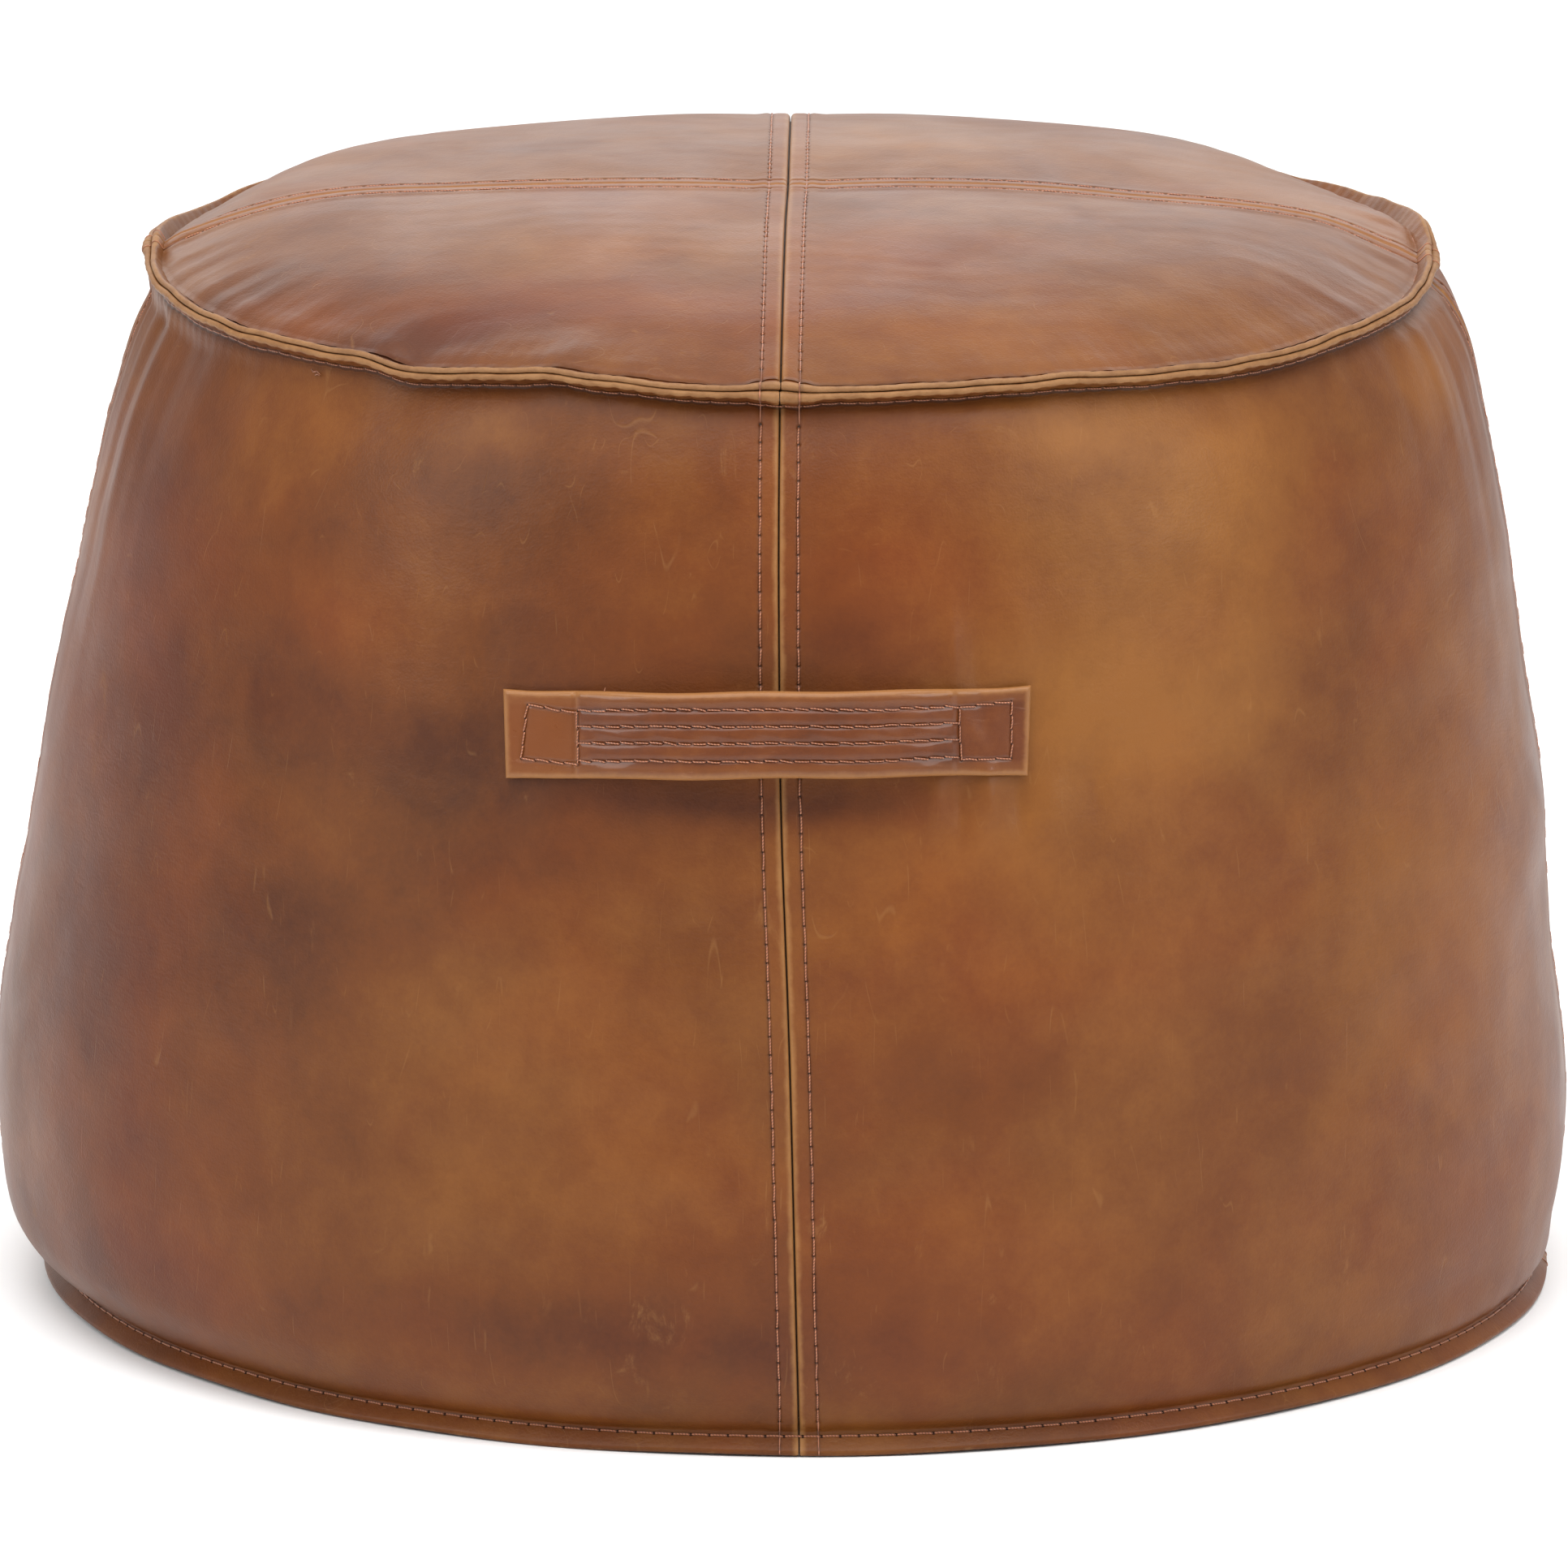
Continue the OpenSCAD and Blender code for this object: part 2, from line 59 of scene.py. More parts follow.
BELLY_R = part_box("side_panel_front_right")[1].x / MM     # widest radius, at height BELLY_Z
BELLY_Z = 54.0
TOTAL_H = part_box("top_panel_front_left")[1].z / MM - 1.5
RIM_R = 235.0           # seam between crown and sides
RIM_Z = TOTAL_H - 31.0
HEM_R = 274.8           # seam between sides and base
HEM_Z = 6.1
LEATHER = 1.4           # thickness of the hide
TURNED = 2 * LEATHER    # a turned edge is two layers thick
PLY_GAP = 0.1           # half the gap between two turned edges sewn back to back
FLANGE = 9.0            # width of the hem flange
ALLOWANCE = 12.0        # seam allowance beside each panel seam
ROW = 7.0               # distance of a stitch row from its seam
PITCH = 6.8             # stitch length
HEM_TILT = 45.0         # tilt of the hem flange below the horizontal
NOMINAL_TILT = 30.0     # tilt of the rim flange above it, before rim_tilt varies it
LEAN = 41.0             # how far the side leans in above the belly, before the shoulder
LEAN_POWER, SHOULDER_POWER = 1.5, 12
CROWN_POWER = 3.0
SEAM_GAP = 0.14         # half the gap between two panels
ROLL = 1.9              # radius of the turned leather edge beside a seam
RIM_STITCHES = 220
HEM_STITCHES = 254

HANDLE_Z = 269.8
HANDLE_TURN = 1.4       # degrees the strap is turned to the left of the front
HANDLE_L = 196.0
HANDLE_H = 34.0
GRIP_T = 5.0
END_T = 4.0
END_GAP = 0.3
FINGER_GAP = 12.5

SEAMS = (-90.0, 0.0, 90.0, 180.0)
QUARTERS = {"front_right": (0, 90), "back_right": (90, 180),
            "back_left": (-180, -90), "front_left": (-90, 0)}


# ---------------------------------------------------------------- small helpers

def smooth(x, low, high):
    """0 below low, 1 above high, and an S curve between."""
    t = np.clip((np.asarray(x, float) - low) / (high - low), 0, 1)
    return t * t * (3 - 2 * t)


def bell(x, width):
    return np.exp(-(np.asarray(x, float) / width) ** 2)


def spot(x, y, half_w, half_h):
    """A soft spot: 1 in its middle and fading over the two half sizes."""
    return bell(x, half_w) * bell(y, half_h)


def turn_gap(a, b):
    """Signed angle from b to a, in degrees, within -180..180."""
    return (np.asarray(a, float) - b + 180) % 360 - 180


def ring_curve(points, soften=2.5):
    """Smooth periodic function of the angle through given (degrees, value) points."""
    step = 0.5
    angles = np.arange(-180, 180, step)
    values = np.interp(angles, *zip(*points), period=360)
    reach = np.arange(-24, 25)
    kernel = np.exp(-(reach * step / soften) ** 2)
    kernel /= kernel.sum()
    soft = sum(w * np.roll(values, -k) for k, w in zip(reach, kernel))
    return lambda a: np.interp(a, angles, soft, period=360)


def waves(seed, count, low, high):
    """Random smooth function of (angle, v) made of a few sine waves; periodic round the body."""
    r = np.random.default_rng(seed)
    round_waves = r.integers(low, high, count)
    up_waves = r.uniform(-1, 1, count) * high / 300
    phase = r.uniform(0, 2 * math.pi, (2, count))
    size = r.uniform(0.5, 1, count) / math.sqrt(count)

    def value(a, v):
        a, v = np.radians(np.asarray(a, float)), np.asarray(v, float)
        total = 0
        for k in range(count):
            total = total + size[k] * np.sin(round_waves[k] * a + up_waves[k] * v + phase[0, k]) \
                * np.cos(up_waves[k] * v * 1.7 + phase[1, k])
        return total
    return value


def seam_distance(a, radius, centres=SEAMS):
    """Signed distance along the leather from the nearest of the four seams."""
    best = np.full(np.broadcast(a, radius).shape, 1e6)
    for centre in centres:
        d = np.radians(turn_gap(a, centre)) * radius
        best = np.where(np.abs(d) < np.abs(best), d, best)
    return best


# ---------------------------------------------------------------- rim and hem lines

# Where the rim seam runs above or below its nominal height
rim_rise = ring_curve([
    (-180, -4.5), (-150, -5), (-127, -4.2), (-112, -6.5), (-98, -1.5), (-91, 3), (-84, 0.5),
    (-71, -1), (-57, -1),
    (-44, 0.4), (-39, 1), (-35, -1.5), (-28, 1.8), (-20, 4.8), (-8.5, 1.4), (-3, 1.4), (0, 2.6), (2, 1.6),
    (5, 0.8), (12, 1.4), (25, 1.4), (38, -2), (47, -3.6), (63, -3), (79, -4.5), (90, -3),
    (99, 1.5), (110, -2),
    (125, -5), (150, -5)], soften=1.6)
# How far the rim flange is tilted up from the horizontal
rim_tilt = ring_curve([
    (-180, 40), (-150, 42), (-122, 44), (-103, 58), (-90, 60), (-82, 48), (-70, 36), (-55, 28), (-35, 23),
    (0, 19), (35, 22), (58, 28), (72, 36), (82, 46), (92, 44), (104, 52), (122, 42), (150, 42)], soften=4)
# Width of the rim flange
rim_length = ring_curve([
    (-180, 9), (-120, 8.5), (-100, 9.5), (-90, 7.6), (-75, 7.8), (-60, 8.5), (-30, 8.6), (0, 9.8), (30, 8.8),
    (60, 8.6), (80, 8.2), (90, 8.4), (102, 10), (130, 8.5)], soften=4)
# How far the hem seam is raised
hem_wave = ring_curve([(-180, 0.2), (-130, 0.6), (-92, 3.4), (-78, 2.2), (-60, 0.9), (-30, 0), (0, 0.1),
    (30, 0.5), (60, 0.1), (90, 0.6), (140, 0)], soften=8)
# How far the filled body leans: the rim and the hem lie a little to the right of the middle
RIM_SHIFT = 1.8
hem_shift = ring_curve([(-180, 0), (-120, -3), (-91, -2.5), (-76, -5.4), (-60, -6.0), (-30, -3.0), (0, 0),
                        (45, 4.2), (90, 5.6), (135, 4)], soften=8)
# How far the front seam wanders sideways, by height: (height, millimetres)
FRONT_DRIFT = [(0, 5.8), (60, 4.3), (153, 2.1), (247, -1.5), (350, -2.1), (400, -1.2)]

wide_waves = waves(3, 7, 2, 7)
mid_waves = waves(11, 9, 7, 22)
flange_waves = waves(19, 9, 20, 60)
pleat_waves = waves(23, 11, 40, 110)


def seam_bump(a, radius):
    """1 where a panel seam crosses the rim or hem, falling to 0 beside it."""
    d = seam_distance(a, radius)
    return np.exp(-(np.abs(d) / 10.5) ** 3)


def frame_at(a):
    """Outward unit vectors in the plane of the floor, for each angle."""
    r = np.radians(a)
    return np.stack([np.sin(r), -np.cos(r)], -1)


def to_xyz(a, radius, z):
    r = np.radians(a)
    return np.stack([radius * np.sin(r), -radius * np.cos(r), z + 0 * r], -1)


def rim_lines(a):
    """Seam point (radius, height), outward and upward vectors, at each angle of the rim."""
    tilt = np.radians(rim_tilt(a) + 2.5 * flange_waves(a, 0))
    radius = RIM_R + RIM_SHIFT * np.sin(np.radians(a)) + 0.8 * mid_waves(a, 90)
    seam = np.stack([radius, RIM_Z + rim_rise(a) + 0.5 * flange_waves(a, 40)], -1)
    out = np.stack([np.cos(tilt), np.sin(tilt)], -1)
    up = np.stack([-np.sin(tilt), np.cos(tilt)], -1)
    return seam, out, up


def hem_lines(a):
    """The same at the hem, where the flange runs outwards and down."""
    tilt = np.radians(HEM_TILT + 3 * mid_waves(a, 0))
    radius = HEM_R + hem_shift(a) + 0.6 * mid_waves(a, 200)
    seam = np.stack([radius, HEM_Z + hem_wave(a) + 0 * tilt], -1)
    out = np.stack([np.cos(tilt), -np.sin(tilt)], -1)
    up = np.stack([np.sin(tilt), np.cos(tilt)], -1)
    return seam, out, up


def rim_flange_length(a, phase):
    """Width of a turned edge at the rim: the side's edge and the crown's differ by their phase."""
    return rim_length(a) + 0.3 * flange_waves(a, phase)


def hem_flange_length(a):
    return FLANGE + 0.4 * mid_waves(a, 50)


def scallop(a, count):
    """0 at each stitch hole of a ring of stitches and 1 half way between."""
    return np.abs(np.sin(np.radians(a) * count / 2))


RIM_PLY = 2.1               # thickness of a turned edge at the rim, at its stitch holes
SIDE_PHASE, CROWN_PHASE = 70, 130


def side_ply(a):
    """Thickness of the side's turned edge at the rim."""
    return RIM_PLY + 0.45 * scallop(a, RIM_STITCHES) + 2.2 * seam_bump(a, RIM_R)


def crown_ply(a):
    return RIM_PLY + 0.2 * scallop(a, RIM_STITCHES) + 1.1 * seam_bump(a, RIM_R)


# ---------------------------------------------------------------- the side surface

def unit(x):
    return x / np.linalg.norm(x, axis=-1, keepdims=True)


def off_seam(radius, z, tilt, sign):
    """A panel's (radius, height) where its turned edge lies sign = 1 above or -1 below a flange."""
    drop, tilt = TURNED + PLY_GAP, math.radians(tilt)
    return np.array([radius - sign * drop * math.sin(tilt), z + sign * drop * math.cos(tilt)])


SIDE_TOP = off_seam(RIM_R, RIM_Z, NOMINAL_TILT, -1)
SIDE_FOOT = off_seam(HEM_R, HEM_Z, -HEM_TILT, 1)
CROWN_EDGE = off_seam(RIM_R, RIM_Z, NOMINAL_TILT, 1)


def lean_radius(t):
    """Radius of the side above the belly, t being 0 at the belly and 1 at the rim."""
    shoulder = BELLY_R - SIDE_TOP[0] - LEAN
    return BELLY_R - LEAN * t ** LEAN_POWER - shoulder * t ** SHOULDER_POWER


def side_profile():
    """The side's outline as arrays: arc length from the hem, (radius, height), and the normal."""
    tuck = np.linspace(math.radians(80), 0, 60)
    tuck_r = (BELLY_R - SIDE_FOOT[0]) / (1 - math.cos(tuck[0]))
    tuck_h = (BELLY_Z - SIDE_FOOT[1]) / math.sin(tuck[0])
    low = np.stack([BELLY_R - tuck_r * (1 - np.cos(tuck)), BELLY_Z - tuck_h * np.sin(tuck)], -1)
    t = np.linspace(0, 1, 600)[1:]
    high = np.stack([lean_radius(t), BELLY_Z + t * (SIDE_TOP[1] - BELLY_Z)], -1)
    line = np.concatenate([low, high])
    v = np.concatenate([[0], np.cumsum(np.linalg.norm(np.diff(line, axis=0), axis=1))])
    step = np.gradient(line, axis=0)
    return v, line, unit(np.stack([step[:, 1], -step[:, 0]], -1))


SIDE_V, SIDE_LINE, SIDE_NORMAL = side_profile()
SIDE_L = SIDE_V[-1]


def on_side(v):
    """Nominal radius, height and normal at arc length v."""
    v = np.clip(v, 0, SIDE_L)
    line = np.stack([np.interp(v, SIDE_V, SIDE_LINE[:, k]) for k in (0, 1)], -1)
    normal = unit(np.stack([np.interp(v, SIDE_V, SIDE_NORMAL[:, k]) for k in (0, 1)], -1))
    return line, normal


def front_drift(v):
    z = on_side(v)[0][..., 1]
    low, high = FRONT_DRIFT[0][0], FRONT_DRIFT[-1][0]
    steps = np.linspace(low, high, 101)
    raw = np.interp(steps, *zip(*FRONT_DRIFT))
    soft = np.convolve(np.pad(raw, 8, mode="edge"), np.ones(17) / 17, mode="valid")
    return np.interp(z, steps, soft)


def seam_angle(centre, v):
    """The angle at which a side seam runs, by height; only the front seam wanders."""
    if abs(centre) > 1:
        return centre + 0 * np.asarray(v, float)
    return centre + np.degrees(front_drift(v) / on_side(v)[0][..., 0])


def side_seam_distance(a, v):
    radius = on_side(v)[0][..., 0]
    return seam_distance(a, radius, [seam_angle(c, v) for c in SEAMS])


# Long soft folds that hang from the rim: (degrees, width in degrees, length, height)
FOLDS = [(-84, 1.6, 70, 1.3), (-78.5, 1.3, 85, -1.6), (-74, 1.5, 95, 1.5), (-68, 1.8, 60, -0.9),
    (-62, 2.2, 45, 0.7), (66, 1.5, 40, -0.7), (74, 1.4, 60, 0.9), (79, 1.3, 70, -1.0), (85, 1.5, 50, 0.9),
    (104, 2.0, 60, -1.0), (118, 2.4, 70, 1.1), (150, 3, 50, -0.9), (-110, 2.2, 60, 1.1),
    (-135, 3, 70, -1.1)]
# Places where the sewn ends of the strap and the fill dent or swell the side:
# (degrees, height, half width, half height, lift)
DENTS = [(-22.6, 270, 16, 24, -1.1), (18.6, 268, 14, 22, -1.5), (11.6, 245, 4, 10, 1.6),
    (13.6, 244, 3.6, 11, -2.1), (15.8, 244, 3.6, 10, 2.1), (18.2, 242, 4, 10, -1.7), (21, 241, 6, 11, 0.9),
    (24.5, 245, 6, 14, -0.9), (13.4, 296, 2.8, 14, 1.7), (15.4, 295, 4, 14, -1.2), (19, 301, 7, 18, 0.7),
    (-24, 298, 8, 12, -0.8), (-18, 239, 12, 12, 0.7), (-27, 245, 12, 14, -0.6), (0, 270, 40, 30, -0.9),
    (-45, 200, 70, 60, 1.1), (45, 190, 80, 60, 0.9), (-30, 120, 80, 40, -0.7), (38, 90, 90, 35, 0.6),
    (-90, 340, 170, 85, -6.0), (-90, 275, 150, 35, -1.5), (-90, 100, 150, 60, 4.8),
    (90, 300, 170, 110, 3.2), (90, 190, 150, 35, 3.0), (90, 80, 150, 35, 2.6), (90, 365, 150, 25, 1.5)]


def side_relief(a, v):
    """How far the leather stands out from the nominal side, along the normal."""
    line, _ = on_side(v)
    radius, z = line[..., 0], line[..., 1]
    s = np.abs(side_seam_distance(a, v))
    below_rim = SIDE_L - v
    lift = 1.3 * wide_waves(a, v) + 0.55 * mid_waves(a, v) - 1.0 * bell(s, 26)
    for angle, width, length, height in FOLDS:
        lift = lift + height * spot(turn_gap(a, angle) + below_rim * 0.012, below_rim - 10, width, length)
    for angle, height, half_w, half_h, amount in DENTS:
        across = np.radians(turn_gap(a, angle)) * radius
        lift = lift + amount * spot(across, z - height, half_w, half_h)
    gather = 0.45 * pleat_waves(a, 0) * bell(below_rim, 16) * (0.45 + smooth(np.abs(turn_gap(a, 0)), 35, 65))
    lift = lift + gather
    lift = lift + 0.35 * pleat_waves(a, 200) * bell(v, 14) * smooth(np.abs(turn_gap(a, 0)), 10, 50)
    lift = lift * smooth(below_rim, 0, 10) * (0.4 + 0.6 * smooth(v, 0, 12))
    return lift + seam_relief(s, v)


def seam_relief(s, along):
    """Raised strip between the stitch rows, the rows' own groove, and the needle dimples."""
    strip = 0.55 * (1 - smooth(s, ALLOWANCE - 3.5, ALLOWANCE + 1.5))
    groove = -0.42 * bell(s - ROW, 0.9)
    beat = np.cos(2 * math.pi * along / PITCH)
    dimple = -0.3 * bell(s - ROW, 0.7) * np.clip(beat, 0, 1) ** 3
    return strip + groove + dimple


def roll_drop(s):
    """How far the surface has dropped into the seam at distance s from its middle."""
    x = np.clip(ROLL + SEAM_GAP - np.abs(s), 0, ROLL)
    return ROLL - np.sqrt(np.maximum(ROLL ** 2 - x ** 2, 0))


def blend_ends(v):
    """How much of the rim's and of the hem's displacement reaches arc length v."""
    return smooth(v, SIDE_L - 75, SIDE_L), 1 - smooth(v, 0, 28)


def side_rz(a, v, depth):
    """(radius, height) of the side at each angle and v, sunk by depth."""
    line, normal = on_side(v)
    seam, _, up = rim_lines(a)
    rim_shift = seam - (side_ply(a) + PLY_GAP)[..., None] * up - SIDE_TOP
    seam_h, _, up_h = hem_lines(a)
    hem_shift = seam_h + (TURNED + PLY_GAP) * up_h - SIDE_FOOT
    at_rim, at_hem = blend_ends(v)
    lift = side_relief(a, v) - depth
    return line + lift[..., None] * normal + at_rim[..., None] * rim_shift + at_hem[..., None] * hem_shift


def side_point(a, v, depth=0.0):
    a, v = np.broadcast_arrays(np.asarray(a, float), np.asarray(v, float))
    p = side_rz(a, v, depth + 0 * a)
    return to_xyz(a, p[..., 0], p[..., 1])


# ---------------------------------------------------------------- the crown surface

CROWN_H = TOTAL_H - CROWN_EDGE[1]
# The front-to-back seam of the crown wanders to the right towards the back: (y, millimetres)
CROWN_DRIFT = [(-235, -1.2), (-60, 0.6), (0, 1.5), (120, 2.3), (235, 2.7)]


def crown_shift(x, y):
    """Moves the crown's points sideways so that its front-to-back seam wanders as the drift says."""
    near = 1 - smooth(np.abs(x), 0, 160)
    drift = np.interp(y, *zip(*CROWN_DRIFT))
    return x + near * drift


# Creases and swells of the crown: (x, y, half width, half depth, lift)
CROWN_SWELLS = [(0, 175, 150, 50, -1.4), (-160, -5, 50, 45, 3.8), (180, 75, 45, 60, -3.0),
    (-120, -90, 80, 60, 1.4), (110, -100, 80, 70, 1.6), (-110, 100, 90, 70, 1.2), (120, 90, 80, 70, 1.2),
    (-190, -60, 16, 30, -0.8), (-205, -85, 10, 24, 0.7), (60, -180, 60, 20, 0.5), (-60, -190, 60, 16, 0.4),
    (195, -60, 20, 34, -0.6)]


# How full the crown stands just inside its seam, round the rim
crown_bulge = ring_curve([(-180, 2.5), (-150, 3.5), (-125, 6), (-100, 6), (-80, 5), (-55, 3.5), (-30, 2.5),
    (0, 2), (30, 2.5), (55, 3.5), (80, 5), (100, 6), (125, 6), (150, 3.5)], soften=6)


# How far the filled crown leans out over its seam, so that the root of the flange is hidden
crown_overhang = ring_curve([(-180, 2), (-130, 4.5), (-90, 5.5), (-50, 4.6), (-20, 3.6), (0, 3.2),
    (20, 3.6), (50, 4.6), (90, 5.5), (130, 4.5)], soften=6)


def crown_relief(radius, a):
    x, y = radius * np.sin(np.radians(a)), -radius * np.cos(np.radians(a))
    along_x, along_y = np.abs(y), np.abs(x)     # distance from the cross seam, and from the long one
    lift = 0.9 * wide_waves(a, radius) * smooth(radius, 0, 120)
    lift = lift - 1.1 * bell(along_x, 26) - 1.1 * bell(along_y, 26)
    for cx, cy, half_w, half_d, amount in CROWN_SWELLS:
        lift = lift + amount * spot(x - cx, y - cy, half_w, half_d)
    crease = np.sin(y / 2.6 + 2.2 * np.sin(x / 31) + 1.3 * np.sin(x / 13 + y / 40))
    lift = lift + 0.05 * crease * smooth(np.sin(x / 37 + y / 23), -0.2, 0.9)
    inside = CROWN_EDGE[0] - radius
    lift = lift + crown_bulge(a) * (1 - np.exp(-np.maximum(inside, 0) / 6)) * smooth(radius, 120, 205)
    sides = 0.35 + smooth(np.abs(turn_gap(a, 0)), 45, 70)
    lift = lift + 0.5 * pleat_waves(a, 60) * bell(inside - 4, 20) * sides
    lift = lift * smooth(inside, 0, 9)
    for s, along in ((along_x, x), (along_y, y)):
        lift = lift + seam_relief(s, along) * smooth(inside, -1, 3)
    return lift


def crown_rz(radius, a, depth):
    share = np.clip(radius / CROWN_EDGE[0], 0, 1)
    z = CROWN_EDGE[1] + CROWN_H * (1 - share ** CROWN_POWER)
    slope = CROWN_H * CROWN_POWER * share ** (CROWN_POWER - 1) / CROWN_EDGE[0]
    normal = unit(np.stack([slope, 1 + 0 * slope], -1))
    seam, _, up = rim_lines(a)
    shift = seam + (crown_ply(a) + PLY_GAP)[..., None] * up - CROWN_EDGE
    weight = smooth(share, 0.84, 1)
    lift = crown_relief(radius, a) - depth
    lean = crown_overhang(a) * bell(CROWN_EDGE[0] - radius - 3, 5.5) * smooth(CROWN_EDGE[0] - radius, -1, 2)
    return np.stack([radius + lean, z], -1) + lift[..., None] * normal + weight[..., None] * shift


def crown_point(radius, a, depth=0.0):
    radius, a = np.broadcast_arrays(np.asarray(radius, float), np.asarray(a, float))
    p = crown_rz(radius, a, depth + 0 * a)
    xyz = to_xyz(a, p[..., 0], p[..., 1])
    xyz[..., 0] = crown_shift(xyz[..., 0], xyz[..., 1])
    return xyz


def crown_at(x, y, depth=0.0):
    """The crown at a place given by x and y before the seam's wander."""
    x, y = np.broadcast_arrays(np.asarray(x, float), np.asarray(y, float))
    return crown_point(np.hypot(x, y), np.degrees(np.arctan2(x, -y)), depth)


# ---------------------------------------------------------------- meshes

def make_object(name, points, faces, material, attributes=None):
    mesh = bpy.data.meshes.new(name)
    mesh.from_pydata((np.asarray(points, float) * MM).tolist(), [], faces)
    mesh.validate()
    for key, values in (attributes or {}).items():
        mesh.attributes.new(key, "FLOAT", "POINT").data.foreach_set("value", np.asarray(values, np.float32))
    mesh.polygons.foreach_set("use_smooth", [True] * len(mesh.polygons))
    mesh.update()
    obj = bpy.data.objects.new(name, mesh)
    bpy.context.scene.collection.objects.link(obj)
    obj.data.materials.append(material)
    return obj


def grid_faces(index, flip=False):
    """Quads over a 2-D array of vertex numbers."""
    a, b, c, d = index[:-1, :-1], index[:-1, 1:], index[1:, 1:], index[1:, :-1]
    return np.stack([a, d, c, b] if flip else [a, b, c, d], -1).reshape(-1, 4).tolist()


def edge_faces(first, second, flip):
    """Faces between two lines of vertex numbers: quads, or triangles where the lines meet."""
    faces = []
    for quad in zip(first[:-1], first[1:], second[1:], second[:-1]):
        corners = list(dict.fromkeys(int(q) for q in quad))
        if len(corners) > 2:
            faces.append(corners[::-1] if flip else corners)
    return faces


def shell_from_rows(outer, inner):
    """Vertices and faces of a closed shell: (rows, columns, 3) grids of outer and inner points that
    share their first and last rows."""
    rows, columns = outer.shape[:2]
    out_index = np.arange(rows * columns).reshape(rows, columns)
    in_index = out_index.copy()
    in_index[1:-1] = rows * columns + np.arange((rows - 2) * columns).reshape(rows - 2, columns)
    points = np.concatenate([outer.reshape(-1, 3), inner[1:-1].reshape(-1, 3)])
    faces = grid_faces(out_index) + grid_faces(in_index, flip=True)
    faces += edge_faces(out_index[:, 0], in_index[:, 0], True)
    return points, faces + edge_faces(out_index[:, -1], in_index[:, -1], False)


FILLET_STEPS = (0.17, 0.34, 0.5, 0.66, 0.83)
# Distances from a seam at which the panels have a line of points
NEAR_SEAM = np.array([SEAM_GAP, 0.3, 0.55, 0.9, 1.35, 1.9, 2.8, 4.0, 5.2, 6.0, 6.5, 7.0, 7.5, 8.0, 9.0, 10.4,
                      12.0, 13.8])


def bezier(p0, p1, p2, t):
    return (1 - t) ** 2 * p0 + 2 * t * (1 - t) * p1 + t * t * p2


def turned_edge(lines, ply, length, drop, toward):
    """Rows of a turned edge, from the fillet's end out to the tip of the fold, and the fillet's corners.

    lines are the seam, out and up arrays, ply is the edge's thickness, and toward is 1 where the edge
    lies below the seam and -1 where it lies above. drop is how far the panel's ends are rolled in. Each
    row is the outer and the inner (radius, height) array with the share of the way to the tip."""
    seam, out, up = lines
    corner = seam - toward * (ply + PLY_GAP)[:, None] * up
    inner_corner = seam - toward * PLY_GAP * up
    middle, half = (corner + inner_corner) / 2, ply / 2
    body = np.maximum(length - half - 0.12 * drop, 2.5)
    thick = (half - 0.16 * np.minimum(drop, half * 0.9))[..., None]
    steps, fold_steps, first = 5, 5, 2.0
    rows = []
    for share in np.arange(steps) / (steps - 1):
        centre = middle + (first + (body - first) * share)[..., None] * out
        rows.append((centre - toward * thick * up, centre + toward * thick * up, share * 0.5))
    for k in range(1, fold_steps + 1):
        angle = math.pi / 2 * (1 - k / fold_steps)
        centre = middle + body[..., None] * out + math.cos(angle) * half[..., None] * out
        lift = toward * math.sin(angle) * thick * up
        rows.append((centre - lift, centre + lift, 0.5 + 0.5 * k / fold_steps))
    return rows, corner + toward * drop[:, None] * up * 0.6, inner_corner


def lining_depth(s):
    """How deep the panel's inner face lies at distance s from a seam: two layers within the allowance."""
    return LEATHER * (2 - smooth(s, ALLOWANCE - 0.6, ALLOWANCE + 0.6))


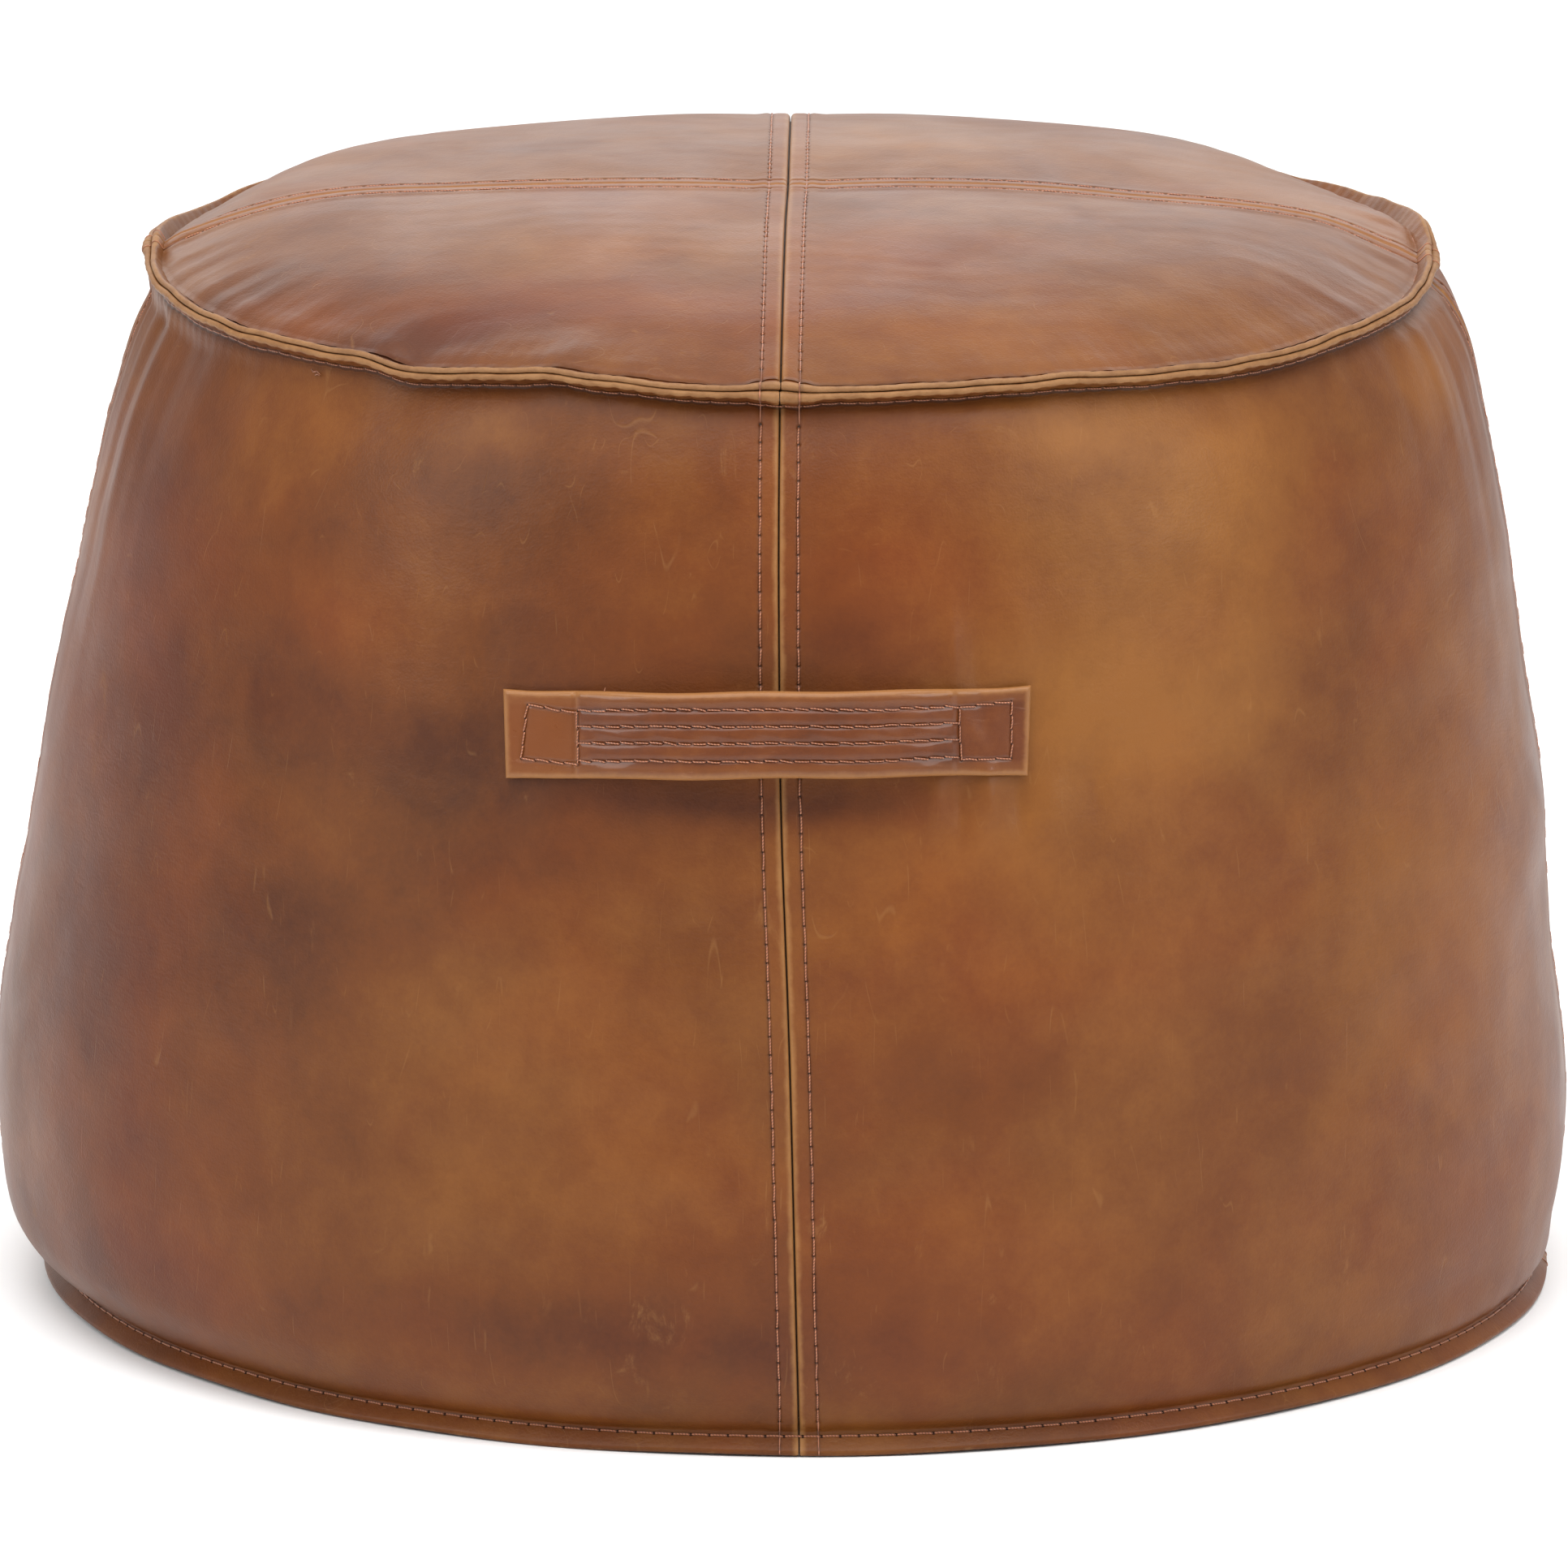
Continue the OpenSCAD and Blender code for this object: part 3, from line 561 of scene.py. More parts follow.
def side_panel(name, start, stop, material):
    """One side panel with its turned edges at rim and hem, as a closed shell."""
    between = np.linspace(0, 1, 205)[1:-1]
    v_rows = np.concatenate([[2.2, 3.0, 4.2, 5.6], np.arange(PITCH, SIDE_L - 4.5, PITCH / 3),
                             [SIDE_L - 3.4, SIDE_L - 2.2]])
    s = np.concatenate([NEAR_SEAM, np.full(len(between), 50.0), NEAR_SEAM[::-1]])
    drop = roll_drop(s)
    outer, inner, marks = [], [], []

    def columns(v):
        """Angles of the columns at arc length v."""
        first, last = seam_angle(start, v), seam_angle(stop, v)
        inset = np.degrees(NEAR_SEAM / on_side(v)[0][..., 0])
        low, high = first + inset[-1], last - inset[-1]
        return np.concatenate([first + inset, low + (high - low) * between, (last - inset)[::-1]])

    def side_row_at(v):
        angles = columns(v)
        vs = np.full(len(s), v)
        return side_rz(angles, vs, drop), side_rz(angles, vs, lining_depth(s)), angles

    def add(rz_out, rz_in, angles, mark):
        outer.append(to_xyz(angles, rz_out[:, 0], rz_out[:, 1]))
        inner.append(to_xyz(angles, rz_in[:, 0], rz_in[:, 1]))
        marks.append(mark)

    def add_fillet(first, last, corner, inner_corner, mark):
        for t in FILLET_STEPS:
            add(bezier(first[0], corner, last[0], t), bezier(first[1], inner_corner, last[1], t),
                first[2] + (last[2] - first[2]) * t, mark)

    # the hem, from the fold's tip inwards; a mark is the place along the seam's stitches and the share
    # of the way to a fold's tip, or a share below 0 in the crease under the rim, which gets a painted shadow
    angles = columns(0.0)
    ply = np.full(len(s), TURNED)
    rows, *corners = turned_edge(hem_lines(angles), ply, hem_flange_length(angles), drop, -1)
    for rz_out, rz_in, share in rows[::-1]:
        add(rz_out, rz_in, angles, (-1.0, 0.5 * share))
    add_fillet((*rows[0][:2], angles), side_row_at(v_rows[0]), *corners, (-1.0, 0.0))
    for v in v_rows:
        add(*side_row_at(v), (v, 0.0))
    angles = columns(SIDE_L)
    length = rim_flange_length(angles, SIDE_PHASE)
    rows, *corners = turned_edge(rim_lines(angles), side_ply(angles), length, drop, 1)
    add_fillet(side_row_at(v_rows[-1]), (*rows[0][:2], angles), *corners, (SIDE_L, -0.1))
    for rz_out, rz_in, share in rows:
        add(rz_out, rz_in, angles, (SIDE_L + 1, share))

    outer = np.array(outer)
    points, faces = shell_from_rows(outer, np.array(inner))
    v_mark, share = np.array(marks).T[..., None]
    on_flange = (v_mark < 0) | (v_mark >= SIDE_L)
    angle_map = np.degrees(np.arctan2(outer[..., 0], -outer[..., 1]))
    tone, warm = tones(SIDE_PATCHES, angle_map, outer[..., 2], turn_gap)
    # a share below 0 marks the crease under the rim for a painted shadow
    attributes = {"across": s, "along": np.where(on_flange, PITCH / 2, v_mark), "fold": np.clip(share, 0, 1),
                  "under_rim_shade": share < 0, "tone": tone, "warm": warm}
    for key, values in attributes.items():
        values = np.broadcast_to(values, outer.shape[:2])
        attributes[key] = np.concatenate([values.ravel(), values[1:-1].ravel()])
    return make_object(name, points, faces, material, attributes)


# Patches of the leather's tone, with a painted shadow and a painted sheen: (degrees, height, half width, half
# height, lighter, warmer)
SIDE_PATCHES = [(-24, 360, 14, 26, -0.35, -0.2), (-20, 340, 16, 34, -0.45, 0.1),
    (-30, 280, 20, 34, -0.55, 0.0), (-22, 250, 22, 22, -0.65, -0.1), (-58, 250, 12, 40, -0.45, 0.0),
    (-66, 330, 9, 60, -0.3, 0.2), (-44, 300, 12, 28, 0.25, 0.5), (-36, 300, 6, 16, 0.5, 0.7),
    (-14, 300, 8, 60, 0.15, 0.6), (-48, 170, 14, 30, -0.35, 0.0), (-20, 150, 20, 32, 0.45, -0.1),
    (-28, 95, 20, 26, 0.4, -0.1), (-12, 110, 12, 26, 0.2, 0.0), (-20, 55, 12, 14, -0.6, 0.0),
    (-8, 42, 8, 14, -0.5, 0.1), (-46, 60, 16, 20, 0.3, 0.0), (-72, 120, 12, 50, 0.1, 0.0),
    (-60, 60, 10, 30, 0.15, -0.1), (8, 340, 9, 40, 0.1, 0.75), (14, 320, 8, 34, -0.25, 0.7),
    (30, 345, 14, 26, -0.1, -0.5), (40, 350, 8, 34, 0.3, 0.3), (24, 270, 12, 34, 0.75, -0.1),
    (34, 250, 14, 40, 0.55, -0.2), (46, 270, 14, 50, 0.1, 0.0), (60, 330, 12, 50, 0.0, -0.1),
    (10, 225, 12, 30, 0.0, 0.6), (14, 180, 14, 34, 0.2, 0.55), (16, 140, 10, 16, -0.5, 0.1),
    (30, 170, 16, 40, 0.05, 0.1), (12, 90, 12, 30, 0.25, 0.25), (28, 80, 16, 30, 0.0, 0.2),
    (48, 150, 12, 26, -0.3, 0.0), (60, 170, 12, 50, 0.55, 0.0), (54, 100, 14, 30, 0.3, 0.0),
    (66, 80, 10, 30, -0.15, 0.0), (6, 40, 8, 16, -0.4, 0.2), (36, 40, 16, 14, 0.1, 0.1),
    (80, 250, 9, 70, 0.15, 0.0), (100, 300, 16, 60, -0.3, 0.2), (125, 200, 20, 60, 0.4, 0.1),
    (150, 320, 18, 50, 0.2, 0.5), (-66, 190, 13, 190, -0.9, 0.8), (-50, 75, 14, 55, -0.7, 0.3),
    (-60, 42, 32, 16, -0.5, 0.4), (-20, 44, 20, 12, -0.5, 0.1), (29, 320, 13, 70, 1.0, 0.1),
    (46, 352, 14, 26, 0.6, 0.1), (26, 200, 7, 60, 0.6, 0.0), (72, 362, 8, 16, 0.9, 0.0),
    # the first two patches on the next line are a painted shadow under the middle of the strap
    (-8, 244, 9, 8, -1.2, 0.1), (4, 244, 8, 8, -1.2, 0.1), (-12, 222, 12, 14, -0.5, 0.0),
    (4, 300, 5, 16, -0.5, 0.0), (-35, 262, 10, 16, -0.4, 0.4), (70, 170, 12, 150, 0.0, 0.7),
    (-14, 197, 9, 24, -0.3, 0.0), (5, 60, 9, 32, -0.7, 0.0), (23, 283, 9, 26, 0.6, -0.1),
    # the first two patches on the next line are a painted sheen just below the rim
    (25, 372, 6, 10, 0.9, 0.0), (-25, 372, 6, 10, 0.9, 0.0), (-38, 325, 8, 24, -0.5, 0.1),
    (-45, 180, 16, 30, -0.6, 0.2), (165, 160, 20, 50, -0.35, 0.1), (-165, 240, 20, 60, 0.35, 0.2),
    (-140, 120, 22, 60, 0.3, 0.0), (-120, 300, 18, 60, -0.35, 0.1), (-100, 180, 14, 60, 0.2, 0.3),
    (110, 90, 20, 40, -0.2, 0.2)]
# The same on the crown: (x, y, half width, half depth, lighter, warmer)
CROWN_PATCHES = [(-120, -60, 70, 30, 0.1, -0.2), (-60, -170, 70, 26, 0.35, 0.5),
    (-150, -130, 40, 26, -0.5, 0.3), (-30, -130, 26, 40, -0.35, 0.0), (60, -190, 60, 26, 0.4, 0.55),
    (40, -110, 40, 30, 0.2, 0.5), (150, -110, 50, 50, -0.25, -0.2), (110, -40, 60, 26, -0.2, -0.4),
    (-60, -40, 60, 22, 0.1, 0.2), (-120, 90, 70, 50, 0.0, -0.3), (60, 60, 60, 30, 0.2, 0.3),
    (130, 110, 60, 40, -0.2, -0.2), (-125, -175, 45, 16, -1.0, 0.2), (-55, -105, 50, 26, 0.8, -0.1),
    (170, 60, 60, 60, 0.6, 0.0), (0, 40, 220, 120, 0.1, -0.35), (-115, -172, 60, 20, -0.8, 0.2),
    (-195, -95, 22, 22, -0.8, 0.2), (0, 90, 230, 60, 0.35, 0.0), (0, 170, 60, 30, 0.1, 0.0),
    (-190, 30, 30, 50, 0.1, 0.0)]


def tones(patches, x, y, x_gap):
    """The tone and the warmth that the patches give at each place; x_gap measures along x."""
    tone, warm = np.zeros(x.shape), np.zeros(x.shape)
    for cx, cy, half_w, half_h, lighter, warmer in patches:
        patch = spot(x_gap(x, cx), y - cy, half_w, half_h)
        tone, warm = tone + lighter * patch, warm + warmer * patch
    return tone, warm


def crown_panel(name, sx, sy, material):
    """One quarter of the crown with its turned edge at the rim, as a closed shell."""
    full = CROWN_EDGE[0]
    near = NEAR_SEAM / (full * math.pi / 4)
    near[0] = 0.0
    lines = np.concatenate([near, np.linspace(near[-1], 1, 122)[1:]])
    n = len(lines)
    a, b = np.meshgrid(lines, lines, indexing="ij")        # a along the long seam, b along the cross seam
    share = np.maximum(a, b)
    safe = np.maximum(share, 1e-9)
    # the distance from each seam stays constant along the lines beside it
    angle = np.radians(np.where(a >= b, 45 * b / safe, 90 - 45 * a / safe))
    radius = share * (full - 3.2)
    x, y = np.maximum(radius * np.sin(angle), SEAM_GAP), np.maximum(radius * np.cos(angle), SEAM_GAP)
    flat_x, flat_y, s = sx * x, sy * y, np.minimum(x, y)
    outer, inner = crown_at(flat_x, flat_y, roll_drop(s)), crown_at(flat_x, flat_y, lining_depth(s))

    # the rim: grid points on the outer ring, in order from the long seam to the cross seam
    ring = (np.concatenate([np.full(n, n - 1), np.arange(n - 2, -1, -1)]),
            np.concatenate([np.arange(n), np.full(n - 1, n - 1)]))
    rx, ry = flat_x[ring], flat_y[ring]
    angles = np.degrees(np.arctan2(rx, -ry))
    length = rim_flange_length(angles, CROWN_PHASE)
    rim, *corners = turned_edge(rim_lines(angles), crown_ply(angles), length, roll_drop(s[ring]), -1)

    def place(rz):
        xyz = to_xyz(angles, rz[:, 0], rz[:, 1])
        xyz[:, 0] = crown_shift(xyz[:, 0], xyz[:, 1])
        return xyz

    rim = [(place(rz_out), place(rz_in), share) for rz_out, rz_in, share in rim]
    corner, inner_corner = map(place, corners)
    fillet = [(bezier(outer[ring], corner, rim[0][0], t),
               bezier(inner[ring], inner_corner, rim[0][1], t), 0.0)
              for t in FILLET_STEPS]
    rows_out, rows_in, shares = map(np.array, zip(*fillet, *rim))

    grid = np.arange(n * n).reshape(n, n)
    rows = np.arange(len(shares) * len(rx)).reshape(-1, len(rx))
    outer_count = n * n + rows.size
    grid_in = outer_count + grid
    ring_out = np.concatenate([grid[ring][None], n * n + rows])
    ring_in = np.concatenate([grid_in[ring][None], outer_count + n * n + rows[:-1], ring_out[-1:]])
    points = np.concatenate([part.reshape(-1, 3) for part in (outer, rows_out, inner, rows_in[:-1])])
    turned = sx * sy > 0
    faces = grid_faces(grid, not turned) + grid_faces(grid_in, turned)
    faces += grid_faces(ring_out, turned) + grid_faces(ring_in, not turned)
    # close the two straight sides
    for line, end, flip in ((np.s_[:, 0], 0, turned), (np.s_[0, :], -1, not turned)):
        edge_out = np.concatenate([grid[line], ring_out[1:, end]])
        edge_in = np.concatenate([grid_in[line], ring_in[1:, end]])
        faces += edge_faces(edge_out, edge_in, flip)

    def cover(on_grid, on_rows):
        on_rows = np.broadcast_to(on_rows, rows.shape)
        return np.concatenate([part.ravel() for part in (on_grid, on_rows, on_grid, on_rows[:-1])])

    none = np.zeros((n, n))
    tone, warm = tones(CROWN_PATCHES, flat_x, flat_y, np.subtract)
    rim_tone, rim_warm = tones(CROWN_PATCHES, rx, ry, np.subtract)
    attributes = {"across": cover(s, s[ring]), "along": cover(np.maximum(x, y), PITCH / 2),
                  "fold": cover(none, shares[:, None]), "under_rim_shade": cover(none, 0.0),
                  "tone": cover(tone, rim_tone), "warm": cover(warm, rim_warm)}
    return make_object(name, points, faces, material, attributes)


# ---------------------------------------------------------------- stitches

def ring_points(centres, first, second, radius, sides):
    """Points round each centre, in the plane of first and second."""
    turn = 2 * math.pi * np.arange(sides)[:, None] / sides
    spokes = np.cos(turn) * first[..., None, :] + np.sin(turn) * second[..., None, :]
    return centres[..., None, :] + radius * spokes


def tube_faces(rings, sides, base=0):
    """Faces of a tube with closed ends whose first vertex has the number base."""
    index = base + np.arange(rings * sides).reshape(rings, sides)
    around = np.concatenate([index, index[:, :1]], 1)
    return grid_faces(around) + [index[0, ::-1].tolist(), index[-1].tolist()]


# How a stitch runs: share of the way from hole to hole, and height as a share of its lift
STATIONS = [(0.03, -0.75), (0.045, -0.15), (0.10, 0.55), (0.22, 0.95), (0.5, 1.0), (0.78, 0.95), (0.90, 0.55),
            (0.955, -0.15), (0.97, -0.75)]
TWIST = 1.15        # length of one turn of the thread's plies


def thread_tubes(holes, normals, radius=0.29, lift=0.62, slant=0.12, wobble=0.14, seed=1):
    """Stitches between neighbouring holes, each a small bent tube that dives in at both ends.

    holes and normals are (n, 3) in millimetres; returns points, faces and a ply attribute."""
    r = np.random.default_rng(seed)
    start, end = holes[:-1], holes[1:]
    n0, n1 = normals[:-1], normals[1:]
    count, rings, sides = len(start), len(STATIONS), 7
    side = unit(np.cross(unit(end - start), unit(n0 + n1)))
    shift = r.normal(0, wobble, (count, 1))
    slope = r.normal(slant, 0.6 * slant, (count, 1))
    high = lift * r.uniform(0.7, 1.25, (count, 1))
    centres = []
    for t, h in STATIONS:
        height = h * high if h > 0 else h
        bow = shift * math.sin(math.pi * t) + slope * (t - 0.5) * 2
        centres.append(start + (end - start) * t + height * unit(n0 + (n1 - n0) * t) + bow * side * 0.5)
    centres = np.array(centres)
    side = np.broadcast_to(side, centres.shape)
    second = unit(np.cross(unit(np.gradient(centres, axis=0)), side))
    thin = np.array([0.8] + [1.0] * (rings - 2) + [0.8])[:, None, None, None]
    points = ring_points(centres, second, side, radius * thin, sides).transpose(1, 0, 2, 3)
    faces = [face for k in range(count) for face in tube_faces(rings, sides, k * rings * sides)]
    length = np.linalg.norm(end - start, axis=-1)
    share = np.array([t for t, h in STATIONS])[:, None]
    ply = share * length[:, None, None] / TWIST + np.arange(sides) / sides
    return points.reshape(-1, 3), faces, ply.ravel()


def hole_discs(holes, normals, radius, sides=8):
    """Small dark discs lying in the needle holes: painted shade in the holes."""
    first = unit(np.cross(normals, [0.31, 0.2, 0.93]))
    second = np.cross(normals, first)
    points = ring_points(holes + 0.08 * normals, first, second, radius, sides).reshape(-1, 3)
    return points, np.arange(len(points)).reshape(-1, sides).tolist(), np.zeros(len(points))


def bent_tube(path, radius, sides=6):
    """A thin tube along a list of points."""
    path = np.array(path, float)
    tangent = unit(np.gradient(path, axis=0))
    first = unit(np.cross(tangent, [0.3, 0.5, 0.8]))
    thin = np.array([0.5] + [1.0] * (len(path) - 2) + [0.5])[:, None, None]
    points = ring_points(path, first, np.cross(tangent, first), radius * thin, sides).reshape(-1, 3)
    return points, tube_faces(len(path), sides), np.linspace(0, 3, len(points))


def join_parts(parts):
    points, faces, ply, offset = [], [], [], 0
    for p, f, w in parts:
        points.append(p)
        faces += [[i + offset for i in face] for face in f]
        ply.append(w)
        offset += len(p)
    return np.concatenate(points), faces, np.concatenate(ply)


def surface_normals(point_fn, u, w, du, dw):
    """Unit normals of point_fn(u, w) by differences."""
    pu = point_fn(u + du, w) - point_fn(u - du, w)
    pw = point_fn(u, w + dw) - point_fn(u, w - dw)
    return unit(np.cross(pu, pw))


def side_row(centre, side, seed):
    """One stitch row beside a side seam, side being -1 or 1."""
    v = PITCH * np.arange(int((SIDE_L - 1.5) / PITCH) + 1)
    r = np.random.default_rng(seed)
    offset = ROW + 0.1 * side + 0.12 * r.normal(size=len(v))
    a = seam_angle(centre, v) + side * np.degrees(offset / on_side(v)[0][..., 0])
    return thread_tubes(side_point(a, v, 0.05), surface_normals(side_point, a, v, 0.25, 1.7), seed=seed)


# ---------------------------------------------------------------- materials

class Nodes:
    """A short way to write a node tree."""

    def __init__(self, name):
        self.material = bpy.data.materials.new(name)
        self.material.use_nodes = True
        self.tree = self.material.node_tree
        self.shader = self.tree.nodes["Principled BSDF"]

    def put(self, socket, value):
        if isinstance(value, bpy.types.NodeSocket):
            self.tree.links.new(value, socket)
        elif value is not None:
            socket.default_value = value

    def new(self, kind, sockets=None, **settings):
        node = self.tree.nodes.new(kind)
        for key, value in settings.items():
            setattr(node, key, value)
        for key, value in (sockets or {}).items():
            self.put(node.inputs[key], value)
        return node

    def attribute(self, name):
        return self.new("ShaderNodeAttribute", attribute_name=name).outputs["Fac"]

    def position(self):
        return self.new("ShaderNodeTexCoord").outputs["Object"]

    def stretch(self, vector, scale, turn=(0.0, 0.0, 0.0)):
        sockets = {"Vector": vector, "Rotation": turn, "Scale": scale}
        return self.new("ShaderNodeMapping", sockets).outputs["Vector"]

    def shifted(self, vector, by):
        return self.new("ShaderNodeVectorMath", {0: vector, 1: by}, operation="ADD").outputs["Vector"]

    def noise(self, vector, scale, detail=4.0, roughness=0.55, distortion=0.0):
        sockets = {"Vector": vector, "Scale": scale, "Detail": detail, "Roughness": roughness,
                   "Distortion": distortion}
        return self.new("ShaderNodeTexNoise", sockets).outputs["Fac"]

    def strokes(self, vector, turn, scale):
        """Short straight hairlines: thin level lines of a noise drawn out along one direction."""
        level = self.noise(self.stretch(vector, (1.0, 1.0, 0.08), turn), scale, 1.0, 0.4)
        line = self.ramp(self.math("ABSOLUTE", self.math("SUBTRACT", level, 0.5)), 0.0, 0.006, 1.0, 0.0)
        return self.times(line, self.ramp(self.noise(vector, scale, 1.0), 0.60, 0.70))

    def cells(self, vector, scale, feature="F1"):
        sockets = {"Vector": vector, "Scale": scale}
        return self.new("ShaderNodeTexVoronoi", sockets, feature=feature).outputs["Distance"]

    def math(self, operation, a, b=None, c=None, clamp=False):
        return self.new("ShaderNodeMath", {0: a, 1: b, 2: c}, operation=operation, use_clamp=clamp).outputs[0]

    def add(self, a, b, clamp=False):
        return self.math("ADD", a, b, clamp=clamp)

    def times(self, a, b):
        return self.math("MULTIPLY", a, b)

    def ramp(self, value, low, high, to_low=0.0, to_high=1.0, kind="SMOOTHSTEP"):
        sockets = {0: value, 1: low, 2: high, 3: to_low, 4: to_high}
        return self.new("ShaderNodeMapRange", sockets, interpolation_type=kind).outputs["Result"]

    def mix(self, factor, a, b):
        sockets = {"Factor": factor, "A": a, "B": b}
        return self.new("ShaderNodeMix", sockets, data_type="RGBA").outputs["Result"]

    def colours(self, value, stops):
        node = self.new("ShaderNodeValToRGB", {"Fac": value})
        elements = node.color_ramp.elements
        while len(elements) < len(stops):
            elements.new(0.5)
        for element, (place, colour) in zip(elements, stops):
            element.position, element.color = place, colour
        return node.outputs["Color"]

    def bump(self, height, distance, strength=1.0, normal=None):
        sockets = {"Height": height, "Distance": distance, "Strength": strength, "Normal": normal}
        return self.new("ShaderNodeBump", sockets).outputs["Normal"]

    def finish(self, colour, roughness, normal=None, **constants):
        for key, value in (("Base Color", colour), ("Roughness", roughness), ("Normal", normal)):
            self.put(self.shader.inputs[key], value)
        for key, value in constants.items():
            self.shader.inputs[key.replace("_", " ")].default_value = value
        return self.material


def rgb(red, green, blue):
    """A colour given in screen values from 0 to 255."""
    return tuple((c / 255 / 12.92 if c / 255 <= 0.04045 else ((c / 255 + 0.055) / 1.055) ** 2.4)
                 for c in (red, green, blue)) + (1.0,)


DARK, MID, TAN, WORN = rgb(66, 34, 15), rgb(93, 51, 19), rgb(122, 76, 31), rgb(152, 110, 64)


def leather(name, shift, wear=0.6, strip_tint=0.3, shine=0.22):
    """Waxed pull-up leather: soft tone patches, fine mottling, scuffs, worn edges, a fine grain, and painted
    shade under the rim, in seam gaps, along stitch rows and in needle holes.
    """
    n = Nodes(name)
    at = n.shifted(n.position(), shift)
    across, along = n.attribute("across"), n.attribute("along")
    fold, under_rim_shade = n.attribute("fold"), n.attribute("under_rim_shade")
    tone, warm = n.attribute("tone"), n.attribute("warm")

    broad = n.noise(at, 7.0, 3.0, 0.5, 0.3)
    patchy = n.noise(at, 14.0, 4.0, 0.5, 0.3)
    cloudy = n.noise(at, 52.0, 5.0, 0.6, 0.3)
    mottle = n.noise(at, 420.0, 4.0, 0.7)
    # tone brings the patches, a painted shadow under the strap and a painted sheen below the rim among them
    level = n.math("MULTIPLY_ADD", tone, 0.30, 0.48)
    for part, low, reach in ((broad, 0.3, 0.10), (patchy, 0.3, 0.10), (cloudy, 0.3, 0.10),
                             (mottle, 0.35, 0.035)):
        level = n.add(level, n.ramp(part, low, 1 - low, -reach, reach, "LINEAR"))
    colour = n.colours(level, [(0.05, DARK), (0.42, MID), (0.95, TAN)])
    heat = n.math("MULTIPLY_ADD", warm, 0.6, 0.12)
    heat = n.add(heat, n.ramp(n.noise(at, 10.0, 3.0, 0.5, 0.4), 0.40, 0.70, -0.1, 0.35), clamp=True)
    warm_colour = n.colours(level, [(0.05, rgb(84, 36, 11)), (0.45, rgb(102, 49, 15)),
                                    (0.95, rgb(128, 74, 27))])
    colour = n.mix(heat, colour, warm_colour)

    # pale scuffs and hair-thin scratches
    scuff_at = n.stretch(at, (1.0, 1.0, 0.45))
    scuffs = n.ramp(n.noise(scuff_at, 46.0, 8.0, 0.72, 1.2), 0.60, 0.78)
    scuffs = n.times(scuffs, n.ramp(n.noise(at, 11.0, 2.0), 0.45, 0.62))
    scratches = n.math("MAXIMUM", n.strokes(at, (0.5, 0.3, 0.9), 55.0),
                       n.strokes(at, (0.9, -0.5, -0.7), 48.0))
    hairs = n.math("MAXIMUM", n.strokes(at, (-0.4, 0.2, 0.2), 90.0), n.strokes(at, (0.2, 0.9, 1.4), 80.0))
    for marks, strength in ((scuffs, 0.42), (scratches, 0.16), (hairs, 0.14)):
        colour = n.mix(n.times(marks, strength), colour, WORN)

    # the two seam edges are worn pale, the strip between the stitches is a little redder
    chafe = n.noise(at, 90.0, 4.0, 0.7)
    strip = n.ramp(across, 6.0, 7.4, 1.0, 0.0)
    strip = n.times(strip, n.ramp(chafe, 0.3, 0.7, 0.3 * strip_tint, strip_tint))
    colour = n.mix(strip, colour, n.mix(0.5, colour, rgb(122, 68, 34)))
    worn_edge = n.ramp(n.add(across, n.ramp(chafe, 0.3, 0.7, -0.5, 0.5)), 0.3, 2.9, 1.0, 0.0)
    worn_edge = n.times(worn_edge, wear)
    colour = n.mix(worn_edge, colour, rgb(156, 112, 66))
    # painted shade deep in the gap between two panels
    deep = n.ramp(across, 0.14, 0.55, 1.0, 0.0)
    colour = n.mix(n.times(deep, 0.85), colour, rgb(34, 17, 10))

    # worn folds of the flanges, and a painted shadow in the crease under the rim flange
    rub = n.add(fold, n.ramp(n.noise(at, 130.0, 5.0, 0.7), 0.3, 0.7, -0.14, 0.14))
    fold_wear = n.times(n.ramp(rub, 0.44, 0.72), 0.92)
    colour = n.mix(fold_wear, colour, n.mix(n.ramp(chafe, 0.35, 0.65), rgb(120, 83, 50), rgb(137, 99, 63)))
    # painted shadow in the crease under the rim flange
    colour = n.mix(n.times(under_rim_shade, 0.7), colour, rgb(44, 18, 5))
    # painted shade on the side's last few millimetres, under the rim flange
    colour = n.mix(n.ramp(along, SIDE_L - 5, SIDE_L - 0.5, 0.0, 0.5), colour, rgb(54, 24, 7))

    # painted shade along the two stitch rows beside each seam and in their needle holes
    beat = n.math("PINGPONG", along, PITCH / 2)
    gap = n.math("SUBTRACT", n.math("ABSOLUTE", across), ROW + 0.05)
    hole = n.math("SQRT", n.add(n.times(gap, gap), n.times(beat, beat)))
    hole_mask = n.ramp(hole, 0.42, 0.72, 1.0, 0.0)
    row_shade = n.ramp(n.math("ABSOLUTE", gap), 0.2, 1.3, 0.32, 0.0)
    colour = n.mix(row_shade, colour, rgb(56, 28, 16))
    # painted shade in the needle holes
    colour = n.mix(n.times(hole_mask, 0.8), colour, rgb(32, 15, 7))

    # grain and creases
    grain = n.cells(at, 1150.0, "SMOOTH_F1")
    pores = n.noise(at, 1500.0, 2.0, 0.5)
    wrinkle = n.noise(n.stretch(at, (1.0, 1.0, 2.4)), 85.0, 5.0, 0.6, 1.0)
    relief = n.add(n.times(grain, 0.35), n.times(pores, 0.22))
    relief = n.add(relief, n.times(wrinkle, 0.9))
    relief = n.math("SUBTRACT", relief, n.times(scratches, 0.25))
    normal = n.bump(relief, 0.0003, 0.7)
    normal = n.bump(n.ramp(hole, 0.3, 1.3, 0.0, 1.0), 0.0005, 0.8, normal)

    gloss = n.ramp(n.noise(at, 22.0, 4.0, 0.5, 0.4), 0.3, 0.7, 0.36, 0.44)
    gloss = n.add(gloss, n.times(fold_wear, 0.16))
    gloss = n.add(gloss, n.times(scuffs, 0.1))
    return n.finish(colour, gloss, normal, Specular_IOR_Level=shine, IOR=1.46, Sheen_Weight=0.0)


